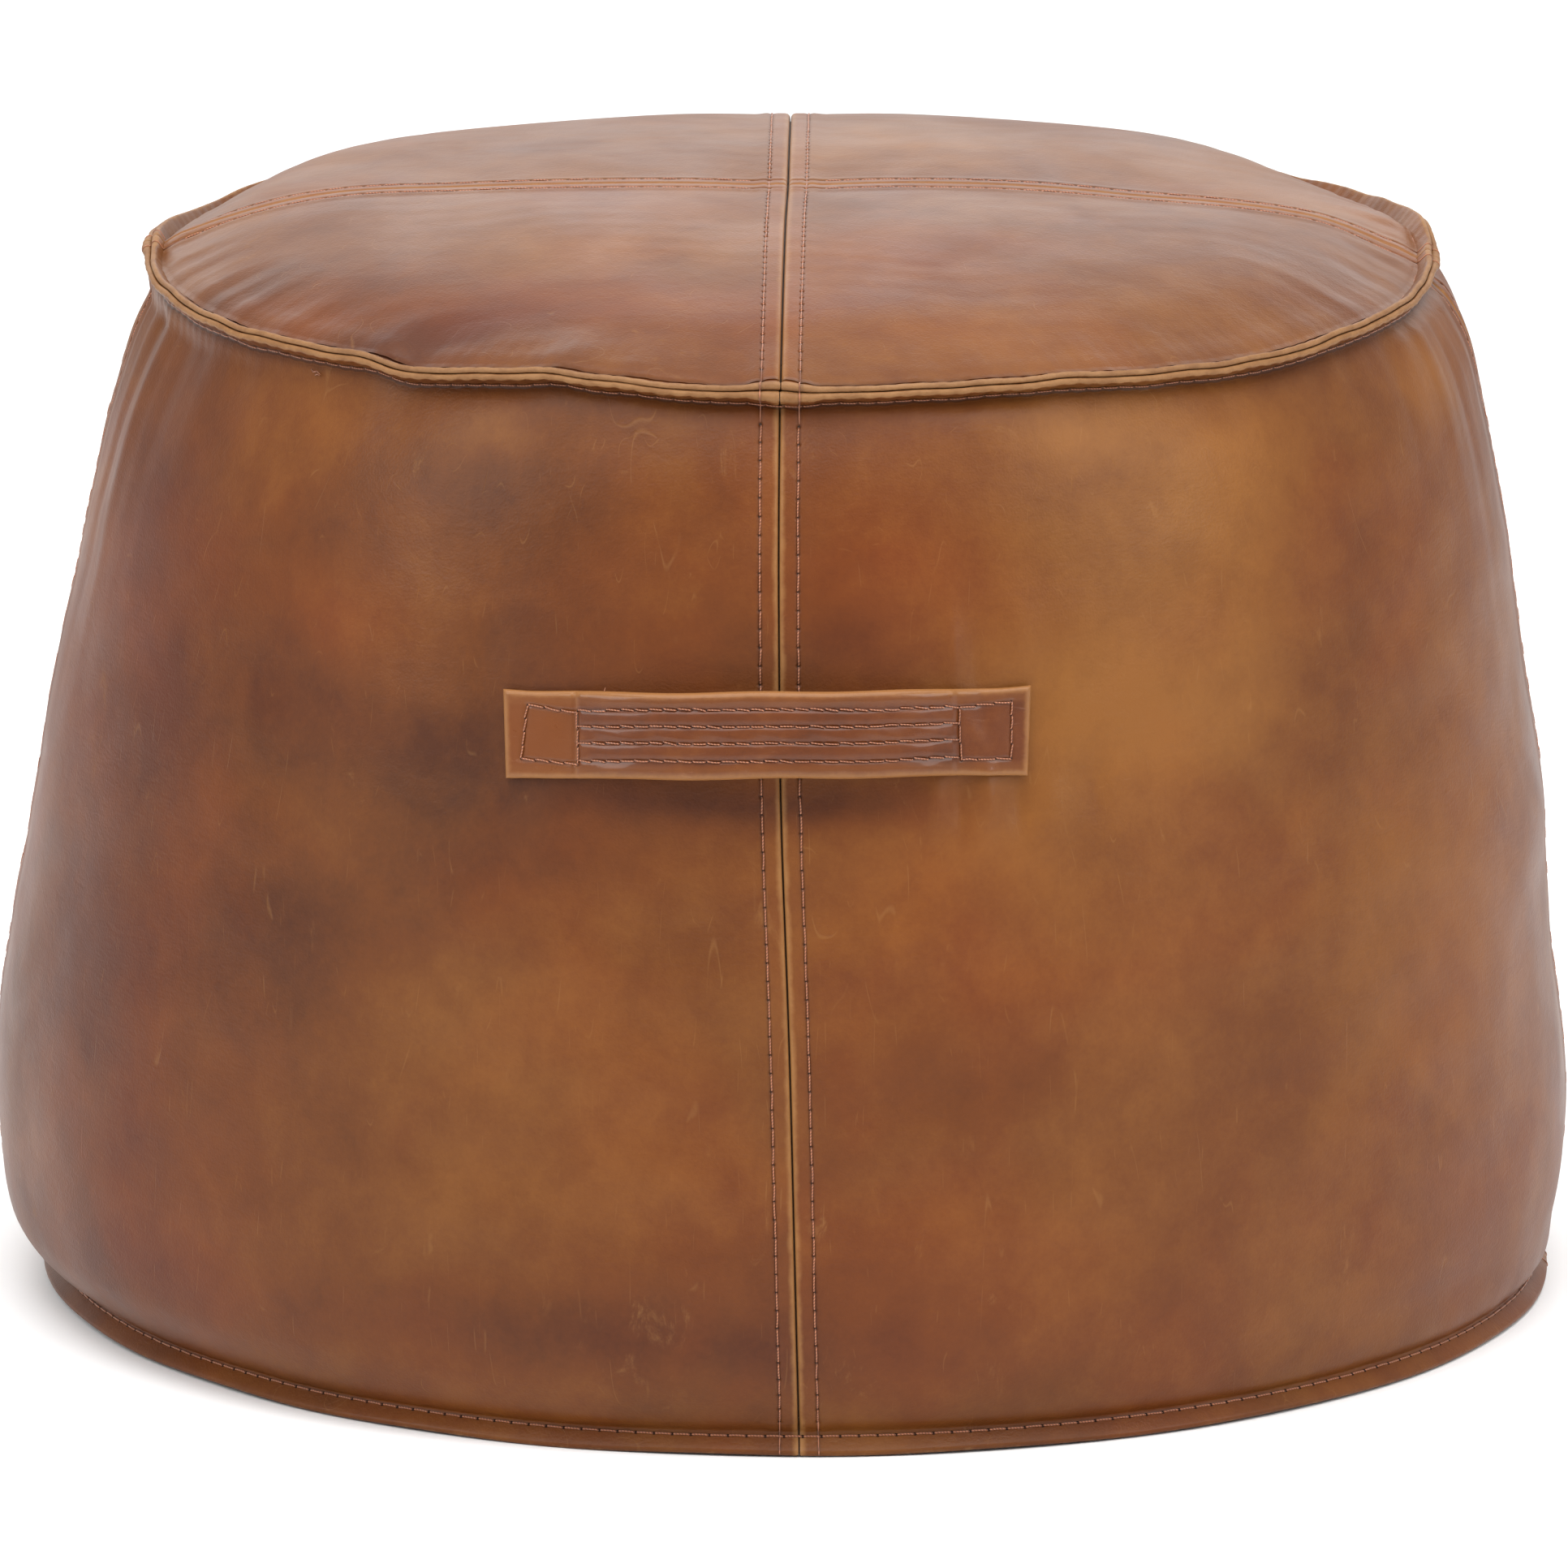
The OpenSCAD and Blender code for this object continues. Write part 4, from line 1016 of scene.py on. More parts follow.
def thread_material(name):
    n = Nodes(name)
    ply = n.attribute("ply")
    twist = n.math("SINE", n.times(ply, 2 * math.pi))
    fuzz = n.noise(n.position(), 3000.0, 2.0, 0.6)
    shade = n.noise(n.position(), 60.0, 2.0)
    colour = n.mix(n.ramp(twist, -0.9, 0.9), rgb(114, 66, 42), rgb(172, 110, 76))
    colour = n.mix(n.ramp(shade, 0.35, 0.65, 0.0, 0.3), colour, rgb(118, 68, 44))
    normal = n.bump(n.add(twist, fuzz), 0.00006, 0.7)
    return n.finish(colour, 0.42, normal, Sheen_Weight=0.2, Sheen_Roughness=0.4)


# ---------------------------------------------------------------- stage, light, camera

def flat_material(name, colour, roughness):
    n = Nodes(name)
    fleck = n.noise(n.position(), 2.0, 3.0)
    darker = tuple(0.9 * part for part in colour[:3]) + (1,)
    shade = n.mix(n.ramp(fleck, 0.3, 0.7, 0.0, 0.03), colour, darker)
    return n.finish(shade, roughness, Specular_IOR_Level=0.2)


def aim(obj, target):
    direction = Vector(np.array(target) - np.array(obj.location))
    obj.rotation_euler = direction.to_track_quat("-Z", "Y").to_euler()


def soft_box(name, place, target, width, height, power):
    data = bpy.data.lights.new(name, "AREA")
    data.shape = "RECTANGLE"
    data.size, data.size_y, data.energy = width, height, power
    lamp = bpy.data.objects.new(name, data)
    lamp.location = place
    bpy.context.scene.collection.objects.link(lamp)
    aim(lamp, target)
    lamp.visible_camera = False


def build_stage():
    size = 30000.0
    points = [[-size, -size, 0], [size, -size, 0], [size, size, 0], [-size, size, 0]]
    material = flat_material("pale_floor", (0.93, 0.93, 0.93, 1), 0.6)
    floor = make_object("floor", points, [[0, 1, 2, 3]], material)
    world = bpy.data.worlds.new("studio")
    bpy.context.scene.world = world
    world.use_nodes = True
    background = world.node_tree.nodes["Background"]
    background.inputs["Color"].default_value = (1, 1, 1, 1)
    background.inputs["Strength"].default_value = 0.7
    soft_box("overhead", (0, -0.7, 2.5), (0, 0, 0.2), 3.2, 2.6, 92)
    soft_box("front_left", (-2.6, -1.5, 1.7), (0, 0, 0.25), 1.3, 1.6, 34)
    soft_box("front_right", (2.6, -1.5, 1.7), (0, 0, 0.25), 1.3, 1.6, 34)
    soft_box("behind", (0, 3.4, 1.5), (0, 0, 0.4), 4.0, 1.6, 24)


def build_camera():
    data = bpy.data.cameras.new("camera")
    camera = bpy.data.objects.new("camera", data)
    bpy.context.scene.collection.objects.link(camera)
    distance, elevation, seen = 10.0, math.radians(13.4), 0.589
    target = np.array([0, 0, 0.1869])
    camera.location = target + distance * np.array([0, -math.cos(elevation), math.sin(elevation)])
    aim(camera, target)
    data.sensor_width = 36
    data.lens = data.sensor_width * distance / seen
    data.clip_start, data.clip_end = 0.5, 60
    bpy.context.scene.camera = camera
    bpy.context.scene.view_settings.view_transform = "Standard"


# ---------------------------------------------------------------- the strap

HANDLE_T = (HANDLE_Z - BELLY_Z) / (SIDE_TOP[1] - BELLY_Z)
HANDLE_R = lean_radius(HANDLE_T)
HANDLE_SLOPE = math.atan2(LEAN * LEAN_POWER * HANDLE_T ** (LEAN_POWER - 1), SIDE_TOP[1] - BELLY_Z)
HALF_L, HALF_H = HANDLE_L / 2 - 2, HANDLE_H / 2 - 1
GRIP_X = 69.0
GRIP_R = 126.04
GRIP_ROWS = (-9.2, -2.7, 3.4, 9.4)
BOX_PITCH = 5.5
# Corners of the two stitched boxes: (x, z) in the strap's own plane
LEFT_BOX = [(-87.3, 10.8), (-68.8, 8.4), (-68.4, -10.6), (-89.5, -9.0)]
RIGHT_BOX = [(70.2, 9.0), (89.2, 11.0), (89.6, -9.8), (71.2, -10.2)]


def strap_world(x, y, z):
    """From the strap's own frame (x along it, -y outwards, z up the slope) to the pouf's."""
    c, s = math.cos(HANDLE_SLOPE), math.sin(HANDLE_SLOPE)
    y1, z1 = y * c + z * s - HANDLE_R, -y * s + z * c + HANDLE_Z
    a = -math.radians(HANDLE_TURN)
    return np.stack([x * math.cos(a) - y1 * math.sin(a), x * math.sin(a) + y1 * math.cos(a), z1], -1)


def side_v_at(z):
    return np.interp(z, SIDE_LINE[:, 1], SIDE_V)


def body_y(x, z):
    """Where the leather's outer face is, in the strap's frame."""
    nominal = HANDLE_R - np.sqrt(HANDLE_R ** 2 - x ** 2)
    p = strap_world(x, nominal, z)
    a, v = np.degrees(np.arctan2(p[..., 0], -p[..., 1])), side_v_at(p[..., 2])
    actual = side_rz(a, v, 0 * v)
    return nominal - (actual[..., 0] - np.hypot(p[..., 0], p[..., 1]))


def strap_y(x, z):
    """The strap's inner face: flat on the leather at its ends, an arch between them."""
    end = body_y(x, np.clip(z, -15, 15)) - END_GAP
    grip = GRIP_R - FINGER_GAP - np.sqrt(GRIP_R ** 2 - x ** 2)
    k = 1.6
    low = np.minimum(end, grip)
    return low - k * np.log(np.exp(-(end - low) / k) + np.exp(-(grip - low) / k))


def strap_sag(x):
    return 0.8 * (1 - (x / HALF_L) ** 2) + 0.3 * np.sin(x / 23 + 1.2) + 0.012 * x


def edge_distance(x, z, corners):
    """Distance to the nearest side of a stitched box."""
    best = np.full(np.broadcast(x, z).shape, 1e3)
    for (ax, az), (bx, bz) in zip(corners, corners[1:] + corners[:1]):
        length = (bx - ax) ** 2 + (bz - az) ** 2
        t = np.clip(((x - ax) * (bx - ax) + (z - az) * (bz - az)) / length, 0, 1)
        best = np.minimum(best, np.hypot(x - ax - t * (bx - ax), z - az - t * (bz - az)))
    return best


def row_distance(x, z):
    """Distance to the nearest stitching on the strap."""
    best = np.minimum(edge_distance(x, z, LEFT_BOX), edge_distance(x, z, RIGHT_BOX))
    for row in GRIP_ROWS:
        along = np.abs(z - row - row_wander(row, x))
        best = np.minimum(best, np.where(np.abs(x) < 70, along, 1e3))
    return best


def row_wander(row, x):
    return 0.35 * np.sin(x / 19 + row) + 0.2 * np.sin(x / 8 + 2 * row)


def strap_outer(x, z):
    """Height of the strap's outer face above its inner one."""
    grip = 1 - smooth(np.abs(x), GRIP_X - 1.0, GRIP_X + 0.8)
    thick = END_T + (GRIP_T - END_T) * grip
    swell = 0.45 * (bell(z - 12.8, 2.0) + bell(z + 12.6, 2.2))
    for below, above in zip(GRIP_ROWS, GRIP_ROWS[1:]):
        channel = np.clip((2 * z - below - above) / (above - below), -1, 1)
        swell = swell + 0.85 * np.sqrt(1 - channel ** 2)
    swell = swell * (1 - smooth(np.abs(x), GRIP_X - 12, GRIP_X + 1))
    ripple = 0.12 * np.sin(x / 3.1 + 3 * np.sin(z / 4)) * bell(z, 12)
    box = 0.35 * bell(z, 7) * (bell(x - 80, 6.5) + bell(x + 79, 6.5))
    crumple = 0.3 * np.sin(x / 1.9 + 0.9 * np.sin(z / 3.5)) * bell(x - 80, 7) * bell(z - 1, 8)
    rows = -0.35 * bell(row_distance(x, z), 0.75)
    crease = -0.35 * bell(np.abs(x) - GRIP_X - 0.9, 0.5) * (x < 0)
    return thick + grip * (swell + ripple) + (1 - grip) * (box + crumple) + rows + crease


def rounding(distance, radius):
    """Share of the full thickness left at a distance from an edge rounded over radius."""
    t = np.clip(1 - distance / radius, 0, 1)
    return np.sqrt(np.maximum(1 - t * t, 0))


def strap_half(name, side, material):
    """One half of the strap, from the middle, where the other half goes on, to its sewn end."""
    near_end = HALF_L - np.array([0.0, 0.12, 0.35, 0.7, 1.2, 1.8, 2.5])
    xs = side * np.concatenate([np.linspace(0, HALF_L - 3.3, 132), near_end[::-1]])
    edge = np.array([0.0, 0.12, 0.35, 0.7, 1.2, 1.9])
    span = np.concatenate([edge, np.linspace(2.5, 2 * HALF_H - 2.5, 62), 2 * HALF_H - edge[::-1]]) - HALF_H
    x, z = np.meshgrid(xs, span, indexing="ij")
    end_share = rounding(HALF_L - np.abs(x), 1.8)
    edge_share = rounding(HALF_H - np.abs(z), 1.9)
    share = np.minimum(end_share, edge_share)
    wave = 0.25 * np.sin(x / 9 + np.sign(z) * 2) + 0.5 * smooth(np.abs(x), 84, 98)
    placed_z = z * (1 + wave / HALF_H) + strap_sag(x)
    skew = 0.035 * z * smooth(np.abs(x), 80, 98) * side
    inner_y = strap_y(x, placed_z)
    thick = strap_outer(x, z)
    middle = inner_y - thick / 2
    outer = strap_world(x + skew, middle - thick / 2 * share, placed_z)
    inner = strap_world(x + skew, middle + thick / 2 * share, placed_z)
    rows, columns = x.shape
    out_index = np.arange(rows * columns).reshape(rows, columns)
    in_index = rows * columns + out_index
    in_index[:, 0], in_index[:, -1] = out_index[:, 0], out_index[:, -1]
    in_index[-1, :] = out_index[-1, :]
    points = np.concatenate([outer.reshape(-1, 3), inner.reshape(-1, 3)])
    faces = grid_faces(out_index, flip=side > 0) + grid_faces(in_index, flip=side < 0)
    used = np.zeros(len(points), bool)
    for face in faces:
        used[face] = True
    renumber = np.cumsum(used) - 1
    faces = [[int(renumber[i]) for i in face] for face in faces]
    worn = np.maximum(bell(HALF_H - np.abs(z), 2.4), 0.9 * bell(HALF_L - np.abs(x), 2.2))
    worn = np.maximum(worn, 0.5 * bell(x + GRIP_X + 0.2, 0.6))
    row = row_distance(x, z)
    both = [np.concatenate([w.ravel(), w.ravel()])[used] for w in (worn, row, x, z)]
    attributes = {"worn": both[0], "row": both[1], "strap_x": both[2], "strap_z": both[3]}
    obj = make_object(name, points[used], faces, material, attributes)
    return obj


def strap_surface(x, z):
    """A point on the strap's outer face, from its flat coordinates."""
    placed_z = z + strap_sag(x)
    return strap_world(x, strap_y(x, placed_z) - strap_outer(x, z), placed_z)


def strap_holes(path):
    """Holes at the strap's pitch along a path of (x, z) corners, with normals."""
    holes = []
    for (ax, az), (bx, bz) in zip(path, path[1:]):
        length = math.hypot(bx - ax, bz - az)
        count = max(1, round(length / BOX_PITCH))
        holes += [(ax + (bx - ax) * k / count, az + (bz - az) * k / count) for k in range(count)]
    holes.append(path[-1])
    holes = np.array(holes)
    holes = holes + rng.normal(0, 0.13, holes.shape)
    return holes


def strap_thread(path, seed, wander=None):
    holes = strap_holes(path)
    if wander is not None:
        holes[:, 1] += row_wander(wander, holes[:, 0])
    x, z = holes[:, 0], holes[:, 1]
    points, normals = strap_surface(x, z), surface_normals(strap_surface, x, z, 0.6, 0.6)
    tubes = thread_tubes(points + 0.35 * normals, normals, radius=0.26, lift=0.24, slant=0.5, wobble=0.3,
                         seed=seed)
    return tubes, hole_discs(points + 0.3 * normals, normals, 0.31)


def declare(obj, slot, *nodes, soft=None, side=None):
    """Hides the CAD nodes that a piece stands for and ties the piece to the body; a piece of the strap
    is only baked in place and tied to nothing. The slot and soft arguments are not used."""
    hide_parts(*nodes)
    if side is None:
        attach(obj, "root")
        return
    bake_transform(obj)


def strap_core(name, side, material):
    """The strip of padding inside the grip."""
    x, z = np.meshgrid(side * np.linspace(0, 66, 40), np.linspace(-13, 13, 9), indexing="ij")
    placed_z = z + strap_sag(x)
    y = strap_y(x, placed_z)
    points = np.concatenate([strap_world(x, y - depth, placed_z).reshape(-1, 3) for depth in (3.4, 1.2)])
    count = x.size
    index = np.arange(count).reshape(x.shape)
    faces = grid_faces(index, flip=side > 0) + grid_faces(index + count, flip=side < 0)
    loop = np.concatenate([index[:, 0], index[-1, 1:], index[-2::-1, -1], index[0, -2::-1]])
    return make_object(name, points, faces + edge_faces(loop, loop + count, side < 0), material)


def build_strap(leather_material, thread, foam, dark):
    for side, name, box, last_hole in ((-1, "left", LEFT_BOX, 68.8), (1, "right", RIGHT_BOX, 70.4)):
        half = strap_half("handle_strap_" + name, side, leather_material)
        declare(half, "strap_leather", "handle_" + name + "_end", "handle_grip", soft=0.9, side=side)
        core = strap_core("handle_padding_" + name, side, foam)
        declare(core, "strap_core", "handle_core", soft=0.9, side=side)
        parts = [strap_thread(box + box[:1], 60 + side)]
        for k, row in enumerate(GRIP_ROWS):
            parts.append(strap_thread([(0.0, row), (side * last_hole, row)], 70 + 5 * side + k, wander=row))
        tubes, discs = zip(*parts)
        # the needle-hole discs carry painted shade in the holes
        for kind, made, finish in (("handle_stitches_", tubes, thread),
                                   ("handle_needle_holes_", discs, dark)):
            points, faces, ply = join_parts(made)
            stitches = make_object(kind + name, points, faces, finish, {"ply": ply})
            declare(stitches, "thread", "handle_end_thread", "handle_grip_thread", side=side)


# ---------------------------------------------------------------- inside and underneath

def closed_sheet(name, outer, inner, material, wrap=False):
    """A closed slab between two matching grids of points; wrap joins the last column to the first."""
    rows, columns = outer.shape[:2]
    index = np.arange(rows * columns).reshape(rows, columns)
    count = rows * columns
    grid = np.concatenate([index, index[:, :1]], 1) if wrap else index
    points = np.concatenate([outer.reshape(-1, 3), inner.reshape(-1, 3)])
    faces = grid_faces(grid) + grid_faces(grid + count, flip=True)
    edges = [(grid[0], True), (grid[-1], False)]
    if not wrap:
        edges += [(grid[:, 0], False), (grid[:, -1], True)]
    for line, flip in edges:
        for p, q in zip(line[:-1], line[1:]):
            quad = [int(p), int(p) + count, int(q) + count, int(q)]
            faces.append(quad[::-1] if flip else quad)
    return make_object(name, points, faces, material)


def revolve(surface, rows):
    """A grid of points: surface(angle, row) at 120 angles for each row."""
    a = np.linspace(-180, 180, 120, endpoint=False)
    return np.stack([surface(a, row) for row in rows])


# How deep the outer and inner faces of a sheet lie below the leather's outer face
LINER_DEPTHS = (4.4, 5.2)
TAPE_DEPTHS = (3.2, 3.8)
SIDE_SEAMS = (("front", 0.0), ("right", 90.0), ("back", 180.0), ("left", -90.0))


def build_inside(cloth, wadding, tape):
    def ring_sheet(name, outer, inner, material, node, slot, soft=None):
        declare(closed_sheet(name, outer, inner, material, wrap=True), slot, node, soft=soft)

    def side_grid(levels, depth):
        return revolve(lambda a, v: side_point(a, v, depth), levels)

    def crown_grid(radii, depth):
        return revolve(lambda a, r: crown_point(r, a, depth), radii)

    levels = np.linspace(7, SIDE_L * 0.955, 44)
    near, far = (side_grid(levels, depth) for depth in LINER_DEPTHS)
    ring_sheet("liner_side_cloth", near, far, cloth, "liner_side", "liner_cloth")
    radii = np.concatenate([[0.5], np.linspace(6, CROWN_EDGE[0] * 0.93, 34)])
    near, far = (crown_grid(radii, depth) for depth in LINER_DEPTHS)
    ring_sheet("liner_top_cloth", far, near, cloth, "liner_top", "liner_cloth")
    radii = np.concatenate([[0.5], np.linspace(6, CROWN_EDGE[0] * 0.92, 30)])
    flat = revolve(lambda a, r: to_xyz(a, r, 380.6), radii * 0.98)
    ring_sheet("crown_pad_wadding", flat, crown_grid(radii, 5.9), wadding, "crown_pad", "wadding", 0.9)
    outer = side_grid(np.linspace(12, SIDE_L * 0.9, 34), 6.1)
    z = outer[..., 2]
    core = np.where(z < 40, 262.6, 262.6 - 40 * (z - 40) / 340)
    inner = to_xyz(np.degrees(np.arctan2(outer[..., 0], -outer[..., 1])), core, np.minimum(z, 378))
    ring_sheet("side_wadding_roll", outer, inner, wadding, "side_wadding", "wadding", 0.9)

    # seam tapes behind the leather
    across = np.linspace(-ALLOWANCE, ALLOWANCE, 11)
    for name, centre in SIDE_SEAMS:
        v = np.linspace(6, SIDE_L * 0.955, 90)[:, None] + 0 * across[None, :]
        a = seam_angle(centre, v) + np.degrees(across[None, :] / on_side(v)[0][..., 0])
        near, far = (side_point(a, v, depth) for depth in TAPE_DEPTHS)
        obj = closed_sheet("seam_tape_side_" + name, near, far, tape)
        declare(obj, "seam_tape", "side_seam_tape_" + name)
    reach = CROWN_EDGE[0] * 0.93
    for name, along in (("front_back", np.linspace(-reach, reach, 120)),
                        ("left", np.linspace(-reach, -13, 56)), ("right", np.linspace(13, reach, 56))):
        u, w = np.meshgrid(along, across, indexing="ij")
        x, y = (w, u) if name == "front_back" else (u, w)
        near, far = (crown_at(x, y, depth) for depth in TAPE_DEPTHS)
        pair = (near, far) if name == "front_back" else (far, near)
        obj = closed_sheet("seam_tape_top_" + name, *pair, tape)
        declare(obj, "seam_tape", "top_seam_tape_" + name)


def build_backing(material):
    """Leather patches behind the strap's sewn ends."""
    for side, name in ((-1, "left"), (1, "right")):
        x, z = np.meshgrid(side * np.linspace(66, 103, 20), np.linspace(-21, 21, 22), indexing="ij")
        near, far = (strap_world(x, body_y(x, z) + depth, z) for depth in (1.9, 2.9))
        pair = (near, far) if side > 0 else (far, near)
        obj = closed_sheet("handle_backing_patch_" + name, *pair, material)
        declare(obj, "backing_leather", "handle_backing_" + name)


POCKET_HALF_L, POCKET_HALF_W, POCKET_H = 205.0, 18.0, 5.0
WINDOW_HALF_L, WINDOW_HALF_W = 197.0, 9.0
BASE_T = 1.0
# How the base cloth rises to the hem: (radius, height)
BASE_RISE = [(258.0, 0.35), (262.0, 0.6), (265.5, 1.9), (268.5, 3.4), (271.5, 4.7)]


def base_lift(x, y):
    """How far the base cloth's underside is above the floor, away from the rim."""
    pocket = (1 - smooth(np.abs(x), POCKET_HALF_L - 0.3, POCKET_HALF_L + 0.6)) \
        * (1 - smooth(np.abs(y), POCKET_HALF_W - 0.3, POCKET_HALF_W + 0.6))
    ripple = 1 + np.sin(x / 31 + 2 * np.sin(y / 47)) * np.sin(y / 29)
    return 0.25 + 0.2 * ripple + (POCKET_H - 0.35) * pocket


def build_base(cloth, tape):
    """The two halves of the base cloth, each from the zip to its turned edge, and the zip's tapes."""
    flat_r = 255.0
    t = np.radians(np.concatenate([[-89.9, -89, -87.5], np.linspace(-86, 86, 201), [87.5, 89, 89.9]]))
    ends = flat_r * np.stack([np.sin(t), np.cos(t)], -1)
    start = np.where(np.abs(ends[:, 0]) < WINDOW_HALF_L, WINDOW_HALF_W, 0.2)
    start = np.minimum(start, ends[:, 1] * 0.5)
    dense = np.concatenate([np.linspace(0, 0.075, 20), np.linspace(0.075, 1, 44)[1:]])
    x = ends[None, :, 0] + 0 * dense[:, None]
    y = start[None, :] + (ends[None, :, 1] - start[None, :]) * dense[:, None]
    seam, out, up = hem_lines(np.degrees(t))
    for name, sign in (("front", -1), ("back", 1)):
        angle = np.degrees(t) if sign < 0 else 180 - np.degrees(t)
        lower, upper = [], []
        for r, h in BASE_RISE:
            radius = r + (r - flat_r) / (HEM_R - flat_r) * hem_shift(angle)
            lower.append(np.stack([radius, h + 0 * t], -1))
            upper.append(np.stack([radius - 0.3, h + BASE_T + 0 * t], -1))
        for s in (0.0, 1.5, 3.0, 4.5, 5.6):
            lower.append(seam - (BASE_T + PLY_GAP) * up + s * out)
            upper.append(seam - PLY_GAP * up + s * out)
        low, high = (np.array(rows) for rows in (lower, upper))
        rims = [np.stack([p[..., 0] * np.sin(t), sign * p[..., 0] * np.cos(t), p[..., 1]], -1)
                for p in (low, high)]
        centre = np.stack([x, sign * y, base_lift(x, y)], -1)
        under, over = np.concatenate([centre, rims[0]]), np.concatenate([centre + [0, 0, BASE_T], rims[1]])
        obj = closed_sheet("base_cloth_" + name, *((under, over)[::sign]), cloth)
        declare(obj, "base_cloth", "base_panel_" + name)
        u, w = np.meshgrid(np.linspace(-202, 202, 120), np.array([2.4, 6.0, 11.0, 17.0]), indexing="ij")
        low = np.stack([u, sign * w, 6.1 + 0.12 * np.sin(u / 21 + w)], -1)
        obj = closed_sheet("zip_tape_" + name + "_woven", *((low + [0, 0, 0.7], low)[::sign]), tape)
        declare(obj, "zip_tape", "zip_tape_" + name)


# ---------------------------------------------------------------- more materials

def strap_material(name):
    n = Nodes(name)
    at = n.position()
    worn, row = n.attribute("worn"), n.attribute("row")
    x, z = n.attribute("strap_x"), n.attribute("strap_z")
    patchy = n.noise(at, 34.0, 5.0, 0.6, 0.5)
    fine = n.noise(at, 240.0, 5.0, 0.7)
    level = n.add(n.ramp(patchy, 0.3, 0.7, 0.2, 0.75, "LINEAR"), n.ramp(fine, 0.3, 0.7, -0.1, 0.1, "LINEAR"))
    base = n.colours(level, [(0.0, rgb(66, 30, 10)), (0.5, rgb(92, 45, 15)), (1.0, rgb(112, 62, 24))])
    left = n.ramp(x, -67.5, -69.5, 0.0, 0.8)
    base = n.mix(left, base, rgb(108, 57, 18))
    band = n.ramp(n.math("ABSOLUTE", z), 9.5, 12.5, 0.0, 0.45)
    base = n.mix(band, base, rgb(112, 66, 30))
    scuff = n.times(n.ramp(n.noise(n.stretch(at, (1, 1, 5)), 60.0, 8.0, 0.75, 1.0), 0.56, 0.76),
                   n.ramp(n.noise(at, 40.0, 2.0), 0.45, 0.6))
    base = n.mix(n.times(scuff, 0.45), base, rgb(160, 120, 100))
    rub = n.add(worn, n.ramp(n.noise(at, 200.0, 4.0, 0.7), 0.3, 0.7, -0.1, 0.1))
    base = n.mix(n.ramp(rub, 0.15, 1.0, 0.0, 0.85), base, rgb(138, 92, 48))
    # painted shade along the stitch rows' grooves
    base = n.mix(n.ramp(row, 0.25, 0.9, 0.3, 0.0), base, rgb(62, 30, 12))
    pores = n.noise(at, 1600.0, 3.0, 0.6)
    wrinkle = n.noise(n.stretch(at, (0.5, 1, 2.0)), 130.0, 5.0, 0.6, 1.2)
    normal = n.bump(n.add(n.times(pores, 0.3), wrinkle), 0.0003, 0.35)
    gloss = n.ramp(n.noise(at, 80.0, 4.0, 0.6), 0.3, 0.7, 0.27, 0.36)
    gloss = n.add(gloss, n.ramp(rub, 0.3, 0.9, 0.0, 0.25))
    return n.finish(base, gloss, normal, Specular_IOR_Level=0.24, IOR=1.48, Coat_Weight=0.25,
                    Coat_Roughness=0.06)


def woven_material(name, light, dark, pitch, roughness=0.85, relief=0.00025):
    """Plain-woven cloth: two crossed waves of threads with a little unevenness."""
    n = Nodes(name)
    at = n.position()
    parts = n.new("ShaderNodeSeparateXYZ")
    n.put(parts.inputs[0], at)
    turns = 2 * math.pi / (pitch * MM)
    along = n.add(parts.outputs["X"], n.times(parts.outputs["Z"], 0.6))
    warp = n.math("SINE", n.times(along, turns))
    weft = n.math("SINE", n.times(parts.outputs["Y"], turns))
    weave = n.times(warp, weft)
    uneven = n.noise(at, 40.0, 4.0)
    level = n.add(n.ramp(weave, -1, 1, 0.25, 0.75, "LINEAR"), n.ramp(uneven, 0.3, 0.7, -0.2, 0.2, "LINEAR"))
    colour = n.colours(level, [(0.1, dark), (0.9, light)])
    normal = n.bump(weave, relief, 0.6)
    return n.finish(colour, roughness, normal, Specular_IOR_Level=0.25, Sheen_Weight=0.25,
                    Sheen_Roughness=0.5)


def metal_material(name):
    n = Nodes(name)
    at = n.position()
    worn = n.noise(at, 300.0, 5.0, 0.6)
    colour = n.colours(worn, [(0.35, rgb(120, 92, 48)), (0.65, rgb(196, 158, 92))])
    rough = n.ramp(n.noise(at, 900.0, 3.0), 0.3, 0.7, 0.24, 0.42)
    normal = n.bump(n.noise(at, 2500.0, 2.0), 0.00004, 0.4)
    return n.finish(colour, rough, normal, Metallic=1.0)


def porous_material(name, light, dark, scale):
    """Foam and wadding."""
    n = Nodes(name)
    at = n.position()
    pores = n.cells(at, scale)
    lumps = n.noise(at, scale / 12, 5.0, 0.6)
    level = n.add(n.times(pores, 0.6), n.times(lumps, 0.6))
    colour = n.colours(level, [(0.2, dark), (0.8, light)])
    return n.finish(colour, 0.95, n.bump(level, 0.001, 0.6), Specular_IOR_Level=0.2)


def leather_plain(name):
    """The undyed leather of the patches inside."""
    n = Nodes(name)
    at = n.position()
    colour = n.colours(n.noise(at, 60.0, 6.0, 0.6), [(0.3, rgb(120, 80, 52)), (0.7, rgb(160, 116, 80))])
    return n.finish(colour, 0.75, n.bump(n.noise(at, 900.0, 3.0), 0.0002, 0.6), Specular_IOR_Level=0.3)


def paint_node(name, material):
    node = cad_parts[name]
    node.data.materials.clear()
    node.data.materials.append(material)


# ---------------------------------------------------------------- build

